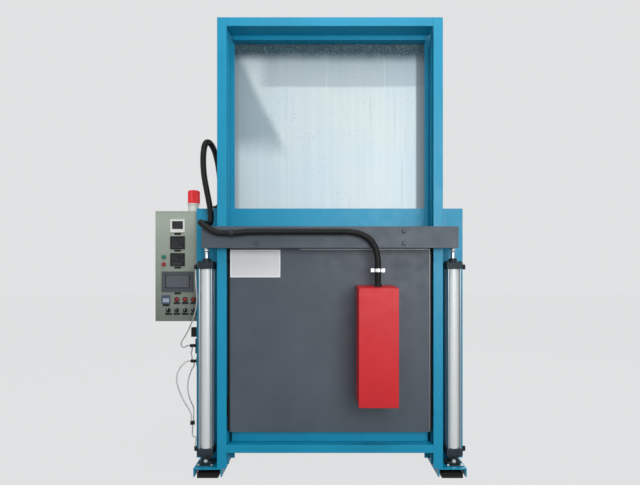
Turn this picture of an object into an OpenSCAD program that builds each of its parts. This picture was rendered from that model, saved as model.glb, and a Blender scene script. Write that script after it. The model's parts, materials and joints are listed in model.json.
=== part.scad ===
// Chamber furnace with a vertical lift door, two pneumatic cylinders and a side control box.
// Lengths are in millimetres. X runs to the right, Y runs to the back, Z runs up from the floor.

/* [Gantry] */
// Overall width of the gantry over both posts
gantry_width = 1424; // [1200:2:1700]
// Height of the gantry above the feet
gantry_height = 2844; // [2760:2:3200]
// Depth of the gantry posts
gantry_depth = 180; // [172:1:230]
// Width of a post's front flange
post_width = 60; // [50:1:70]
// Width of a post's rear flange
rear_flange = 80; // [72:1:82]
// Wall of the post section
post_wall = 6; // [4:0.5:8]
// Height of the top beam's front face
beam_height = 56; // [40:1:80]
// Depth of the top beam
beam_depth = 126; // [90:1:130]
// Height of the rail behind the top beam
top_rail_height = 84; // [60:1:110]
// Height of the sill beam
sill_height = 50; // [30:1:70]
// Depth of the sill beam
sill_depth = 76; // [50:1:90]
// Thickness of the sheet that closes the gantry's upper back
back_sheet_wall = 2; // [1:0.5:4]
// Width of a guide rail across the gantry
rail_width = 54; // [46:1:60]
// Thickness of a guide rail
rail_wall = 20; // [12:1:26]
// Distance from the gantry's front to the guide rail
rail_setback = 70; // [60:1:80]

/* [Feet] */
// Width of a foot channel
foot_width = 180; // [172:1:220]
// Height of a foot channel
foot_height = 54; // [40:1:60]
// Wall of a foot channel
foot_wall = 8; // [5:0.5:10]
// How far a foot reaches under its post
foot_overlap = 30; // [15:1:50]
// Height of a foot pad
pad_height = 54; // [54:1:80]
// Width of a foot pad
pad_width = 134; // [100:1:150]
// Length of a foot pad
pad_length = 240; // [200:1:300]

/* [Body] */
// How far the insulated body reaches past each side of the gantry
body_margin = 108; // [70:1:108]
// Height of the insulated body above its base
body_height = 1566; // [1500:2:1700]
// Depth of the insulated body
body_depth = 1400; // [1000:2:1900]
// Height of the base frame
base_height = 97; // [70:1:140]
// Width of a side beam of the base frame
base_beam_width = 150; // [80:1:160]
// Thickness of the deck plate on the base frame
deck_wall = 6; // [4:0.5:10]
// Sheet thickness of the body
casing_wall = 3; // [2:0.5:5]
// How far the front plate reaches past each side of the gantry
front_plate_margin = 176; // [150:1:240]
// Thickness of the front plate
front_plate_wall = 8; // [5:0.5:12]

/* [Chamber] */
// Thickness of the side, roof and rear lining
lining_wall = 250; // [230:1:300]
// Thickness of the floor lining
floor_lining = 166; // [140:1:190]
// Thickness of the hearth plate
hearth_wall = 25; // [15:1:40]
// Thickness of a heater panel
heater_wall = 30; // [20:1:50]
// Margin from a heater panel to the chamber's edges
heater_margin = 72; // [40:1:120]
// Width of the ring round the chamber's mouth
mouth_ring_width = 50; // [30:1:56]
// Thickness of the ring round the chamber's mouth
mouth_ring_wall = 12; // [6:0.5:16]

/* [Door] */
// Space between the door's edge and a guide rail
door_side_gap = 16; // [8:1:24]
// Height of the door
door_height = 1286; // [1286:2:1340]
// Thickness of the door
door_depth = 140; // [110:1:142]
// Sheet thickness of the door
door_skin = 5; // [3:0.5:8]
// Running gap between the door and the ring round the mouth
seal_gap = 3; // [1:0.5:8]
// How far the door lifts
door_travel = 1070; // [600:5:1100]

/* [Crossbar] */
// How far the crossbar that carries the door reaches past each side of the gantry
crossbar_overhang = 80; // [70:1:130]
// Height of the crossbar
crossbar_height = 132; // [110:1:150]
// Depth of the crossbar
crossbar_depth = 58; // [44:1:80]
// Wall of the crossbar
crossbar_wall = 6; // [4:0.5:8]
// Space between the crossbar and the door
crossbar_standoff = 33; // [32:1:50]
// Height of the crossbar's lower edge above the door's lower edge
crossbar_rise = 1165; // [1130:1:1180]
// Distance between the left and right crossbar bolts
crossbar_bolt_span = 912; // [600:2:1100]
// Distance between the upper and lower crossbar bolts
crossbar_bolt_pitch = 74; // [60:1:84]
// Thickness of the lug that a piston rod lifts
lug_wall = 24; // [16:1:30]

/* [Cylinders] */
// Distance from the side of the gantry to a cylinder's axis
cylinder_offset = 84; // [82:1:100]
// Distance from the gantry's front to a cylinder's axis
cylinder_setback = 85; // [72:1:96]
// Side of the square cylinder caps
cap_size = 102; // [98:1:112]
// Height of the upper cap
head_height = 40; // [30:1:60]
// Height of the lower cap
end_height = 38; // [30:1:60]
// Outer diameter of a cylinder tube
tube_diameter = 84; // [84:0.5:88]
// Bore of a cylinder tube
tube_bore = 80; // [70:0.5:80]
// Length of a cylinder tube
tube_length = 1152; // [1130:2:1152]
// Diameter of a piston rod
rod_diameter = 25; // [20:0.5:32]
// Diameter of a tie rod
tie_rod_diameter = 12; // [8:0.5:14]
// Distance between neighbouring tie rods
tie_rod_pitch = 76; // [74:0.5:84]
// Diameter of a base pin
base_pin_diameter = 20; // [14:0.5:22]

/* [Terminal cover] */
// Width of the terminal cover on the door
cover_width = 234; // [160:1:300]
// Height of the terminal cover at its front
cover_height = 700; // [500:1:760]
// Depth of the terminal cover
cover_depth = 244; // [220:1:300]
// Distance of the terminal cover's centre from the middle of the door
cover_offset = 283; // [200:1:400]
// Height of the terminal cover's lower edge above the door's lower edge
cover_rise = 219; // [120:1:260]
// Rise of the terminal cover's top towards the door
cover_slope = 14; // [5:1:40]
// Sheet thickness of the terminal cover
cover_wall = 2; // [1:0.5:4]

/* [Nameplate] */
// Width of the bare nameplate
nameplate_width = 318; // [100:1:330]
// Height of the bare nameplate
nameplate_height = 175; // [60:1:200]
// Thickness of the nameplate
nameplate_wall = 2; // [1:0.5:4]

/* [Control box] */
// Width of the control box
box_width = 356; // [340:1:500]
// Height of the control box
box_height = 744; // [720:1:900]
// Depth of the control box
box_depth = 200; // [150:1:300]
// Height of the control box above the floor
box_rise = 969; // [940:1:1100]
// Distance from the front plate's face to the control box's face
box_setback = 40; // [34:1:80]
// Sheet thickness of the control box
box_wall = 2; // [1:0.5:4]
// Thickness of the control panel
panel_wall = 3; // [2:0.5:5]
// Width of a recorder or controller bezel
instrument_width = 98; // [80:1:104]
// Height of a recorder or controller bezel
instrument_height = 88; // [70:1:92]
// Width of the operator screen's bezel
screen_width = 213; // [150:1:230]
// Height of the operator screen's bezel
screen_height = 138; // [100:1:150]
// Side of the square meter
meter_size = 58; // [48:1:62]
// Diameter of the panel hole for a button, lamp or switch
device_hole = 22.4; // [20:0.2:24]
// Diameter of the bezel of a button, lamp or switch
device_bezel = 30; // [26:0.5:36]
// Distance between neighbouring switches
switch_pitch = 56.5; // [48:0.5:60]
// Travel of a push button
button_travel = 5; // [3:0.5:6]

/* [Beacon] */
// Diameter of the beacon's lens
lens_diameter = 82; // [60:1:110]
// Height of the beacon's lens
lens_height = 95; // [60:1:130]
// Height of the beacon's base
beacon_base_height = 63; // [30:1:90]
// Distance from the control box's left side to the beacon
beacon_offset = 233; // [60:1:290]

/* [Conduit] */
// Outer diameter of the ribbed conduit
conduit_diameter = 40; // [30:1:42]
// Bore of the ribbed conduit
conduit_bore = 30; // [20:1:32]
// Depth of a groove between two ribs
groove_depth = 2.4; // [1:0.2:4]
// Ribs on the conduit's stretch along the door
door_conduit_ribs = 98; // [20:1:100]
// Ribs on the conduit's free loop
loop_conduit_ribs = 98; // [20:1:100]
// Outer diameter of an air tube
air_tube_diameter = 9; // [6:0.5:12]

/* [Hidden] */

// Facets of round faces, and how far a cut runs past what it cuts
$fn = 64;
overrun = 1;

// Running fit of a shaft in its bore, and clearance round loose pieces
fit = 0.05;
slack = 0.3;

// Places of the gantry
half_gantry = gantry_width / 2;
post_inner = half_gantry - post_width;
rear_inner = half_gantry - rear_flange;
foot_top = pad_height + foot_wall;
gantry_top = foot_top + gantry_height;
beam_bottom = gantry_top - beam_height;
foot_inner = half_gantry - foot_overlap;
foot_outer = foot_inner + foot_width;
back_face = gantry_depth + front_plate_wall;
body_back = back_face + body_depth;
base_top = foot_top + base_height;
body_top = base_top + body_height;

// Places of the chamber
half_body = half_gantry + body_margin;
half_chamber = half_body - casing_wall - lining_wall;
chamber_floor = base_top + floor_lining + hearth_wall;
chamber_top = body_top - casing_wall - lining_wall;
chamber_back = body_back - casing_wall - lining_wall;
ring_face = gantry_depth - mouth_ring_wall;

// Places of the door, with a gap under its edge where it rests
rest_gap = 0.5;
door_lap = 66;
door_bottom = chamber_floor - door_lap;
door_top = door_bottom + door_height;
door_back = ring_face - seal_gap;
door_face = door_back - door_depth;
rail_edge = half_gantry - post_wall - rail_width;
half_door = rail_edge - door_side_gap;
half_plate = half_gantry + front_plate_margin;

// Places of the crossbar
crossbar_back = door_face - crossbar_standoff;
crossbar_face = crossbar_back - crossbar_depth;
crossbar_bottom = door_bottom + crossbar_rise;
crossbar_middle = crossbar_bottom + crossbar_height / 2;
crossbar_top = crossbar_bottom + crossbar_height;
half_crossbar = half_gantry + crossbar_overhang;
lug_bottom = crossbar_bottom + 7;
lug_top = lug_bottom + lug_wall;

// Places of the cylinders
half_span = half_gantry + cylinder_offset;
bracket_wall = 6;
pin_rise = 25;
pin_height = foot_top + pin_rise;
tongue_radius = 18;
end_drop = 44;
end_bottom = pin_height + end_drop;
tube_bottom = end_bottom + end_height;
tube_top = tube_bottom + tube_length;
head_top = tube_top + head_height;
boss_diameter = 53;
boss_height = 26;
piston_height = 35;
piston_gap = 6;

// Places of the terminal cover
cover_face = door_face - cover_depth;
cover_bottom = door_bottom + cover_rise;
cover_front_top = cover_bottom + cover_height;

// Places of the control box
box_face = gantry_depth + box_setback;
box_right = -half_body;
box_left = box_right - box_width;
box_top = box_rise + box_height;
shell_face = box_face + panel_wall;
beacon_x = box_left + beacon_offset;
beacon_y = box_face + box_depth / 2;

// The middle of the whole part, which is its origin
middle_x = (half_plate + box_left) / 2;
middle_y = (cover_face + body_back) / 2;

// Colours
blue = "#2c93c0";
dark_grey = "#53585f";
steel = "#c9ccd0";
black = "#1d2024";
panel_grey = "#8f978c";
sheet_grey = "#bcc7cb";
red = "#cb3a41";
white = "#f1f1ee";
lining_white = "#e4dfd2";

module placed() {
    translate([-middle_x, -middle_y, 0]) children();
}

// The same piece at the right and, mirrored, at the left
module both_sides() {
    children();
    mirror([1, 0, 0]) children();
}

// A piece written for the right side, on the side asked for
module on_side(side) {
    mirror([side < 0 ? 1 : 0, 0, 0]) children();
}

// A box from its lowest to its highest corner
module block(low, high) {
    translate(low) cube(high - low);
}

// A round bar along Y, from one depth to another
module bar_y(x, z, from, to, radius) {
    translate([x, from, z]) rotate([-90, 0, 0]) cylinder(r = radius, h = to - from);
}

// A round bar along X
module bar_x(y, z, from, to, radius) {
    translate([from, y, z]) rotate([0, 90, 0]) cylinder(r = radius, h = to - from);
}

// A round bar along Z
module bar_z(x, y, from, to, radius) {
    translate([x, y, from]) cylinder(r = radius, h = to - from);
}

// A hollow bar along X, open at both ends
module tube_along_x(low, high, wall) {
    difference() {
        block(low, high);
        block(low + [-overrun, wall, wall], high + [overrun, -wall, -wall]);
    }
}

// Feet

module foot(side) {
    color(blue) placed() on_side(side) difference() {
        block([foot_inner, 0, foot_top - foot_height], [foot_outer, body_back, foot_top]);
        block(
            [foot_inner + foot_wall, -overrun, foot_top - foot_height - overrun],
            [foot_outer - foot_wall, body_back + overrun, foot_top - foot_wall]
        );
        bracket_bolt_places() translate([0, 0, -foot_wall - overrun])
            cylinder(r = bracket_bolt_diameter / 2 + slack, h = foot_wall + 2 * overrun);
    }
}

// The front of a front pad is low, so that the bracket bolts clear it
pad_step = 20;
pad_low_length = 150;

module foot_pads() {
    pad_inner = foot_inner + (foot_width - pad_width) / 2;
    color(black) placed() both_sides() {
        difference() {
            block([pad_inner, 0, 0], [pad_inner + pad_width, pad_length, pad_height]);
            block(
                [pad_inner - overrun, -overrun, pad_height - pad_step],
                [pad_inner + pad_width + overrun, pad_low_length, pad_height + overrun]
            );
        }
        block([pad_inner, body_back - pad_length, 0], [pad_inner + pad_width, body_back, pad_height]);
    }
}

// Base frame and body

base_cross_width = 80;
base_cross_setback = 90;
base_cross_count = 3;
base_wall = 8;

// Hollow beams under a deck plate: the side beams are open at their rear ends
module base_frame() {
    deck_bottom = base_top - deck_wall;
    beam_outer = foot_inner + base_beam_width;
    cross_front = back_face + base_cross_setback;
    cross_step = (body_depth - base_cross_setback - base_cross_width) / (base_cross_count - 1);
    wall = [base_wall, base_wall, base_wall];
    color(blue) placed() difference() {
        union() {
            both_sides() block([foot_inner, back_face, foot_top], [beam_outer, body_back, deck_bottom]);
            for (i = [0 : base_cross_count - 1])
                block(
                    [-foot_inner, cross_front + i * cross_step, foot_top],
                    [foot_inner, cross_front + i * cross_step + base_cross_width, deck_bottom]
                );
            block([-half_body, back_face, deck_bottom], [half_body, body_back, base_top]);
        }
        both_sides() block(
            [foot_inner, back_face, foot_top] + wall,
            [beam_outer - base_wall, body_back + overrun, deck_bottom - base_wall]
        );
        for (i = [0 : base_cross_count - 1])
            block(
                [-foot_inner - overrun, cross_front + i * cross_step + base_wall, foot_top + base_wall],
                [
                    foot_inner + overrun,
                    cross_front + i * cross_step + base_cross_width - base_wall,
                    deck_bottom - base_wall
                ]
            );
    }
}

module casing_sides() {
    color(blue) placed() both_sides()
        block([half_body - casing_wall, back_face, base_top], [half_body, body_back, body_top]);
}

module casing_roof() {
    inside = half_body - casing_wall;
    color(blue) placed() difference() {
        block([-inside, back_face, body_top - casing_wall], [inside, body_back, body_top]);
        bar_z(gland_x, gland_y, body_top - casing_wall - overrun, body_top + overrun, gland_bore / 2);
    }
}

module casing_rear() {
    inside = half_body - casing_wall;
    color(blue) placed()
        block([-inside, body_back - casing_wall, base_top], [inside, body_back, body_top - casing_wall]);
}

module front_plate() {
    color(blue) placed() difference() {
        union() {
            block([-half_plate, gantry_depth, base_top], [half_plate, back_face, body_top]);
            both_sides() block([foot_inner, gantry_depth, foot_top], [half_plate, back_face, base_top]);
        }
        block(
            [-half_chamber, gantry_depth - overrun, chamber_floor],
            [half_chamber, back_face + overrun, chamber_top]
        );
    }
}

// Lining and heaters

module lining_walls() {
    inside = half_body - casing_wall;
    color(lining_white) placed() {
        both_sides()
            block([half_chamber, back_face, base_top], [inside, chamber_back, body_top - casing_wall]);
        block([-inside, chamber_back, base_top], [inside, body_back - casing_wall, body_top - casing_wall]);
    }
}

module lining_roof() {
    color(lining_white) placed() block(
        [-half_chamber, back_face, chamber_top],
        [half_chamber, chamber_back, body_top - casing_wall]
    );
}

module lining_floor() {
    color(lining_white) placed() block(
        [-half_chamber, back_face, base_top],
        [half_chamber, chamber_back, base_top + floor_lining]
    );
}

module hearth_plate() {
    color("#8b8378") placed() block(
        [-half_chamber, back_face, chamber_floor - hearth_wall],
        [half_chamber, chamber_back, chamber_floor]
    );
}

heater_grooves = 9;
groove_share = 0.55;

// A heater panel standing on XZ, with level grooves in its front face
module heater_panel(width, height, wall) {
    pitch = height / heater_grooves;
    groove = pitch * groove_share;
    difference() {
        cube([width, wall, height]);
        for (i = [0 : heater_grooves - 1])
            translate([-overrun, wall / 2, i * pitch + (pitch - groove) / 2])
                cube([width + 2 * overrun, wall, groove]);
    }
}

module side_heaters() {
    height = chamber_top - chamber_floor - 2 * heater_margin;
    length = chamber_back - back_face - 2 * heater_margin;
    color("#b9a184") placed() both_sides()
        translate([half_chamber, back_face + heater_margin, chamber_floor + heater_margin])
            rotate([0, 0, 90]) heater_panel(length, height, heater_wall);
}

module mouth_ring() {
    color("#6f7478") placed() difference() {
        block(
            [-half_chamber - mouth_ring_width, ring_face, chamber_floor - mouth_ring_width],
            [half_chamber + mouth_ring_width, gantry_depth, chamber_top + mouth_ring_width]
        );
        block(
            [-half_chamber, ring_face - overrun, chamber_floor],
            [half_chamber, gantry_depth + overrun, chamber_top]
        );
    }
}

// Gantry

module post(side) {
    color(blue) placed() on_side(side) translate([0, 0, foot_top]) linear_extrude(gantry_height) polygon([
        [post_inner, 0],
        [half_gantry, 0],
        [half_gantry, gantry_depth],
        [rear_inner, gantry_depth],
        [rear_inner, gantry_depth - post_wall],
        [half_gantry - post_wall, gantry_depth - post_wall],
        [half_gantry - post_wall, post_wall],
        [post_inner, post_wall]
    ]);
}

module top_beam() {
    color(blue) placed() union() {
        tube_along_x([-post_inner, 0, beam_bottom], [post_inner, beam_depth, gantry_top], post_wall);
        tube_along_x(
            [-rear_inner, beam_depth - post_wall, gantry_top - top_rail_height],
            [rear_inner, gantry_depth, gantry_top],
            post_wall
        );
    }
}

module sill_beam() {
    color(blue) placed()
        tube_along_x([-post_inner, 0, base_top], [post_inner, sill_depth, base_top + sill_height], post_wall);
}

module door_rest() {
    color(blue) placed() tube_along_x(
        [-rear_inner, sill_depth, base_top],
        [rear_inner, gantry_depth, door_bottom - rest_gap],
        post_wall
    );
}

module guide_rails() {
    outer = half_gantry - post_wall;
    color(blue) placed() both_sides()
        block([outer - rail_width, rail_setback, foot_top], [outer, rail_setback + rail_wall, gantry_top]);
}

module back_sheet() {
    color(sheet_grey) placed() block(
        [-half_gantry, gantry_depth, body_top],
        [half_gantry, gantry_depth + back_sheet_wall, gantry_top]
    );
}

// Cylinders

module at_cylinder() {
    translate([half_span, cylinder_setback, 0]) children();
}

// The tube stands on the lower cap and under the upper one
module cylinder_tubes() {
    color(steel) placed() both_sides() at_cylinder() difference() {
        bar_z(0, 0, tube_bottom, tube_top, tube_diameter / 2);
        bar_z(0, 0, tube_bottom - overrun, tube_top + overrun, tube_bore / 2);
    }
}

module square_cap(bottom, top) {
    block([-cap_size / 2, -cap_size / 2, bottom], [cap_size / 2, cap_size / 2, top]);
}

module cylinder_heads() {
    color(black) placed() both_sides() at_cylinder() difference() {
        union() {
            square_cap(tube_top, head_top);
            bar_z(0, 0, head_top - overrun, head_top + boss_height, boss_diameter / 2);
        }
        bar_z(0, 0, tube_top - overrun, head_top + boss_height + overrun, rod_diameter / 2 + fit);
    }
}

tongue_depth = 30;
clevis_reach = cap_size / 2 - 5;
clevis_step = 10;

module cylinder_ends() {
    color(black) placed() both_sides() at_cylinder() difference() {
        union() {
            square_cap(end_bottom, tube_bottom);
            bar_y(0, pin_height, -tongue_depth / 2, tongue_depth / 2, tongue_radius);
            translate([0, tongue_depth / 2, 0]) rotate([90, 0, 0]) linear_extrude(tongue_depth) polygon([
                [-tongue_radius, pin_height],
                [tongue_radius, pin_height],
                [clevis_reach, end_bottom - clevis_step],
                [clevis_reach, end_bottom + overrun],
                [-clevis_reach, end_bottom + overrun],
                [-clevis_reach, end_bottom - clevis_step]
            ]);
        }
        bar_y(0, pin_height, -tongue_depth, tongue_depth, base_pin_diameter / 2 + fit);
    }
}

module tie_rods() {
    reach = tie_rod_pitch / 2;
    color(steel) placed() both_sides() at_cylinder()
        for (x = [-reach, reach], y = [-reach, reach])
            bar_z(x, y, tube_bottom, tube_top, tie_rod_diameter / 2);
}

ear_wall = 12;
ear_gap = 0.5;
bracket_bolt_diameter = 12;
bracket_bolt_inset = 9;

// The middles of the bolts that hold a bracket, at the foot's top face
module bracket_bolt_places() {
    reach = cap_size / 2 - bracket_bolt_inset;
    for (x = [-reach, reach], y = [-reach, reach])
        translate([half_span + x, cylinder_setback + y, foot_top]) children();
}

// An ear seen along Y: wide at its foot, narrow round the pin
module ear(front) {
    translate([0, front + ear_wall, 0]) rotate([90, 0, 0]) linear_extrude(ear_wall) difference() {
        union() {
            translate([0, pin_height]) circle(tongue_radius);
            polygon([
                [-clevis_reach, foot_top],
                [clevis_reach, foot_top],
                [clevis_reach, foot_top + bracket_wall + clevis_step],
                [tongue_radius, pin_height],
                [-tongue_radius, pin_height],
                [-clevis_reach, foot_top + bracket_wall + clevis_step]
            ]);
        }
        translate([0, pin_height]) circle(base_pin_diameter / 2 + fit);
    }
}

module cylinder_brackets() {
    ear_face = tongue_depth / 2 + ear_gap;
    color(black) placed() both_sides() {
        difference() {
            at_cylinder() square_cap(foot_top, foot_top + bracket_wall);
            bracket_bolt_places() translate([0, 0, -overrun])
                cylinder(r = bracket_bolt_diameter / 2 + slack, h = bracket_wall + 2 * overrun);
        }
        at_cylinder() intersection() {
            union() {
                ear(ear_face);
                ear(-ear_face - ear_wall);
            }
            square_cap(foot_top + bracket_wall, end_bottom);
        }
    }
}

pin_overhang = 4;
bolt_head_height = 8;
bolt_end = 6;

module bracket_fasteners() {
    reach = tongue_depth / 2 + ear_gap + ear_wall + pin_overhang;
    across = bracket_bolt_diameter * 0.9;
    color(steel) placed() both_sides() {
        at_cylinder() bar_y(0, pin_height, -reach, reach, base_pin_diameter / 2);
        bracket_bolt_places() union() {
            translate([0, 0, bracket_wall]) cylinder(r = across, h = bolt_head_height, $fn = 6);
            translate([0, 0, -foot_wall - bolt_head_height - bolt_end]) cylinder(
                r = bracket_bolt_diameter / 2,
                h = bracket_wall + foot_wall + bolt_head_height + bolt_end + overrun
            );
            translate([0, 0, -foot_wall - bolt_head_height])
                cylinder(r = across, h = bolt_head_height, $fn = 6);
        }
    }
}

// Elbow fittings in the ports of the caps, with a mouth that points up or down
fitting_radius = 9;
fitting_reach = 22;
fitting_drop = 24;
port_head = tube_top + head_height / 2;
port_end = end_bottom + end_height / 2;
port_x = half_span + cap_size / 2;

module elbow(height, turn) {
    mouth = height + turn * fitting_drop;
    union() {
        bar_x(cylinder_setback, height, port_x, port_x + fitting_reach, fitting_radius);
        bar_z(
            port_x + fitting_reach,
            cylinder_setback,
            min(height, mouth),
            max(height, mouth),
            fitting_radius
        );
        translate([port_x + fitting_reach, cylinder_setback, height]) sphere(fitting_radius);
    }
}

// The piece in which two tubes join into one, on the way to the left cylinder's lower port
union_place = [-half_body - 104, 214, 285];
union_size = [28, 14, 26];
union_step = 7;

module air_fittings() {
    color(black) placed() {
        both_sides() {
            elbow(port_head, -1);
            elbow(port_end, 1);
        }
        translate(union_place) cube(union_size, center = true);
    }
}

// Control box

module control_box() {
    color(panel_grey) placed() difference() {
        block([box_left, shell_face, box_rise], [box_right, box_face + box_depth, box_top]);
        block(
            [box_left + box_wall, shell_face - overrun, box_rise + box_wall],
            [box_right - box_wall, box_face + box_depth - box_wall, box_top - box_wall]
        );
    }
}

// Places on the control panel, from its lower left corner
instrument_x = 150;
recorder_row = 644;
upper_controller_row = 530;
lower_controller_row = 416;
screen_row = 267;
meter_x = 72;
lamp_row = 147;
switch_row = 74;
first_switch_x = 88;
button_x = 59;
start_row = 434;
stop_row = 384;
switch_count = 4;
lamp_count = 3;

module on_panel(x, row) {
    translate([box_left + x, box_face, box_rise + row]) children();
}

function switch_x(number) = first_switch_x + (number - 1) * switch_pitch;

// A framed instrument: a bezel in front of the panel and a body through it
bezel_depth = 8;
body_inset = 5;
instrument_depth = 95;
screen_depth = 42;
meter_depth = 55;
screen_recess = 3;

module instrument(width, height, depth, frame) {
    difference() {
        union() {
            block([-width / 2, -bezel_depth, -height / 2], [width / 2, 0, height / 2]);
            block(
                [body_inset - width / 2, -overrun, body_inset - height / 2],
                [width / 2 - body_inset, depth, height / 2 - body_inset]
            );
        }
        block(
            [frame - width / 2, -bezel_depth - overrun, frame - height / 2],
            [width / 2 - frame, screen_recess - bezel_depth, height / 2 - frame]
        );
    }
}

module instrument_cut(width, height) {
    reach_x = width / 2 - body_inset + slack;
    reach_z = height / 2 - body_inset + slack;
    block([-reach_x, -overrun, -reach_z], [reach_x, panel_wall + overrun, reach_z]);
}

module device_cut() {
    bar_y(0, 0, -overrun, panel_wall + overrun, device_hole / 2);
}

module control_panel() {
    color(panel_grey) placed() difference() {
        block([box_left, box_face, box_rise], [box_right, shell_face, box_top]);
        for (row = [recorder_row, upper_controller_row, lower_controller_row])
            on_panel(instrument_x, row) instrument_cut(instrument_width, instrument_height);
        on_panel(instrument_x, screen_row) instrument_cut(screen_width, screen_height);
        on_panel(meter_x, lamp_row) instrument_cut(meter_size, meter_size);
        for (row = [start_row, stop_row]) on_panel(button_x, row) device_cut();
        for (i = [1 : switch_count]) on_panel(switch_x(i), switch_row) device_cut();
        for (i = [1 : lamp_count]) on_panel(switch_x(i + 1), lamp_row) device_cut();
    }
}

recorder_frame = 12;
controller_frame = 9;
screen_frame = 24;
meter_frame = 7;

module recorder() {
    color(white) placed() on_panel(instrument_x, recorder_row)
        instrument(instrument_width, instrument_height, instrument_depth, recorder_frame);
}

module controllers() {
    color(black) placed() for (row = [upper_controller_row, lower_controller_row])
        on_panel(instrument_x, row)
            instrument(instrument_width, instrument_height, instrument_depth, controller_frame);
}

module operator_screen() {
    color("#5b6068") placed() on_panel(instrument_x, screen_row)
        instrument(screen_width, screen_height, screen_depth, screen_frame);
}

module meter() {
    color("#6d7c95") placed() on_panel(meter_x, lamp_row)
        instrument(meter_size, meter_size, meter_depth, meter_frame);
}

// Lamps: a flange, a domed lens and a sleeve through the panel
flange_wall = 2;
sleeve_length = 22;
lens_bulge = 9;

module panel_lamps() {
    color(red) placed() for (i = [1 : lamp_count]) on_panel(switch_x(i + 1), lamp_row)
        rotate([90, 0, 0]) rotate_extrude() difference() {
            union() {
                translate([0, -sleeve_length])
                    square([device_hole / 2 - slack / 2, sleeve_length + flange_wall]);
                square([device_bezel / 2, flange_wall]);
                translate([0, flange_wall]) square([device_bezel / 2 - flange_wall, lens_bulge / 2]);
                intersection() {
                    translate([0, flange_wall + lens_bulge / 2 - lens_sphere + lens_bulge / 2])
                        circle(lens_sphere);
                    translate([0, flange_wall + lens_bulge / 2])
                        square([device_bezel / 2 - flange_wall, lens_bulge]);
                }
            }
            translate([-device_bezel, -sleeve_length - overrun])
                square([device_bezel, 2 * sleeve_length + lens_bulge]);
        }
}

// Radius of the sphere whose cap is the lens: as wide as the lens and half the bulge high
lens_reach = device_bezel / 2 - flange_wall;
lens_sphere = (pow(lens_reach, 2) + pow(lens_bulge / 2, 2)) / lens_bulge;

label_width = 45;
label_height = 14;
label_wall = 1;
label_gap = 3;

module label(x, row, drop) {
    on_panel(x, row - drop - label_gap - label_height)
        block([-label_width / 2, -label_wall, 0], [label_width / 2, 0, label_height]);
}

module label_plates() {
    color(black) placed() {
        for (row = [recorder_row, upper_controller_row, lower_controller_row])
            label(instrument_x, row, instrument_height / 2);
        label(instrument_x, screen_row, screen_height / 2);
        label(meter_x, lamp_row, meter_size / 2);
        for (i = [1 : lamp_count]) label(switch_x(i + 1), lamp_row, device_bezel / 2);
        for (i = [1 : switch_count]) label(switch_x(i), switch_row, device_bezel / 2);
    }
}

// A bezel ring holds the stem of a button or switch
stem_radius = device_hole / 2 - 1.7;

module bezel() {
    difference() {
        union() {
            bar_y(0, 0, -flange_wall, 0, device_bezel / 2);
            bar_y(0, 0, -overrun, sleeve_length, device_hole / 2 - slack / 2);
        }
        bar_y(0, 0, -flange_wall - overrun, sleeve_length + overrun, stem_radius + fit);
    }
}

module panel_bezels() {
    color(black) placed() {
        for (row = [start_row, stop_row]) on_panel(button_x, row) bezel();
        for (i = [1 : switch_count]) on_panel(switch_x(i), switch_row) bezel();
    }
}

cap_wall = 7;
cap_radius = device_bezel / 2 - 1.5;
button_gap = 1;

module button() {
    cap_back = -flange_wall - button_travel - button_gap;
    union() {
        bar_y(0, 0, cap_back - cap_wall, cap_back, cap_radius);
        bar_y(0, 0, cap_back - overrun, sleeve_length - button_travel, stem_radius);
    }
}

module start_button() {
    color("#1e7a58") placed() on_panel(button_x, start_row) button();
}

module stop_button() {
    color("#a3262b") placed() on_panel(button_x, stop_row) button();
}

grip_width = 9;
grip_depth = 11;
knob_wall = 8;

module switch(number) {
    knob_back = -flange_wall - slack;
    color(black) placed() on_panel(switch_x(number), switch_row) union() {
        bar_y(0, 0, knob_back - knob_wall, knob_back, cap_radius);
        block(
            [-grip_width / 2, knob_back - knob_wall - grip_depth, -cap_radius + overrun],
            [grip_width / 2, knob_back - knob_wall + overrun, cap_radius - overrun]
        );
        bar_y(0, 0, knob_back - overrun, sleeve_length, stem_radius);
    }
}

// Beacon on the control box

beacon_rim = 3;
rim_height = 8;

module beacon_base() {
    color(white) placed() translate([beacon_x, beacon_y, box_top]) union() {
        cylinder(r = lens_diameter / 2 - beacon_rim, h = beacon_base_height - rim_height + overrun);
        translate([0, 0, beacon_base_height - rim_height])
            cylinder(r = lens_diameter / 2 + beacon_rim, h = rim_height);
    }
}

dome_share = 0.2;

module beacon_lens() {
    dome = lens_height * dome_share;
    reach = lens_diameter / 2;
    dome_sphere = (reach * reach + dome * dome) / (2 * dome);
    color(red) placed() translate([beacon_x, beacon_y, box_top + beacon_base_height]) rotate_extrude() union() {
        square([reach, lens_height - dome]);
        intersection() {
            translate([0, lens_height - dome_sphere]) circle(dome_sphere);
            translate([0, lens_height - dome - overrun]) square([reach, dome + overrun]);
        }
    }
}

// Air valves on the body's left side, under the control box

valve_y = back_face + 87;
manifold_wall = 30;
manifold_reach = 32;
manifold_bottom = 650;
manifold_top = 930;
valve_rows = [890, 796, 690];
valve_reaches = [125, 95, 90];
valve_heights = [64, 100, 58];
valve_depths = [40, 50, 40];
nozzle_radius = 11;
nozzle_reach = 42;

module air_valves() {
    manifold_x = -half_body - manifold_wall;
    color(black) placed() union() {
        block(
            [manifold_x, valve_y - manifold_reach, manifold_bottom],
            [-half_body, valve_y + manifold_reach, manifold_top]
        );
        for (i = [0 : len(valve_rows) - 1])
            translate([0, valve_y, valve_rows[i]]) block(
                [-half_body - valve_reaches[i], -valve_depths[i] / 2, -valve_heights[i] / 2],
                [manifold_x + overrun, valve_depths[i] / 2, valve_heights[i] / 2]
            );
        for (i = [1 : len(valve_rows) - 1])
            bar_x(
                valve_y,
                valve_rows[i],
                -half_body - valve_reaches[i] - nozzle_reach,
                -half_body - valve_reaches[i] + overrun,
                nozzle_radius
            );
    }
}

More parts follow.
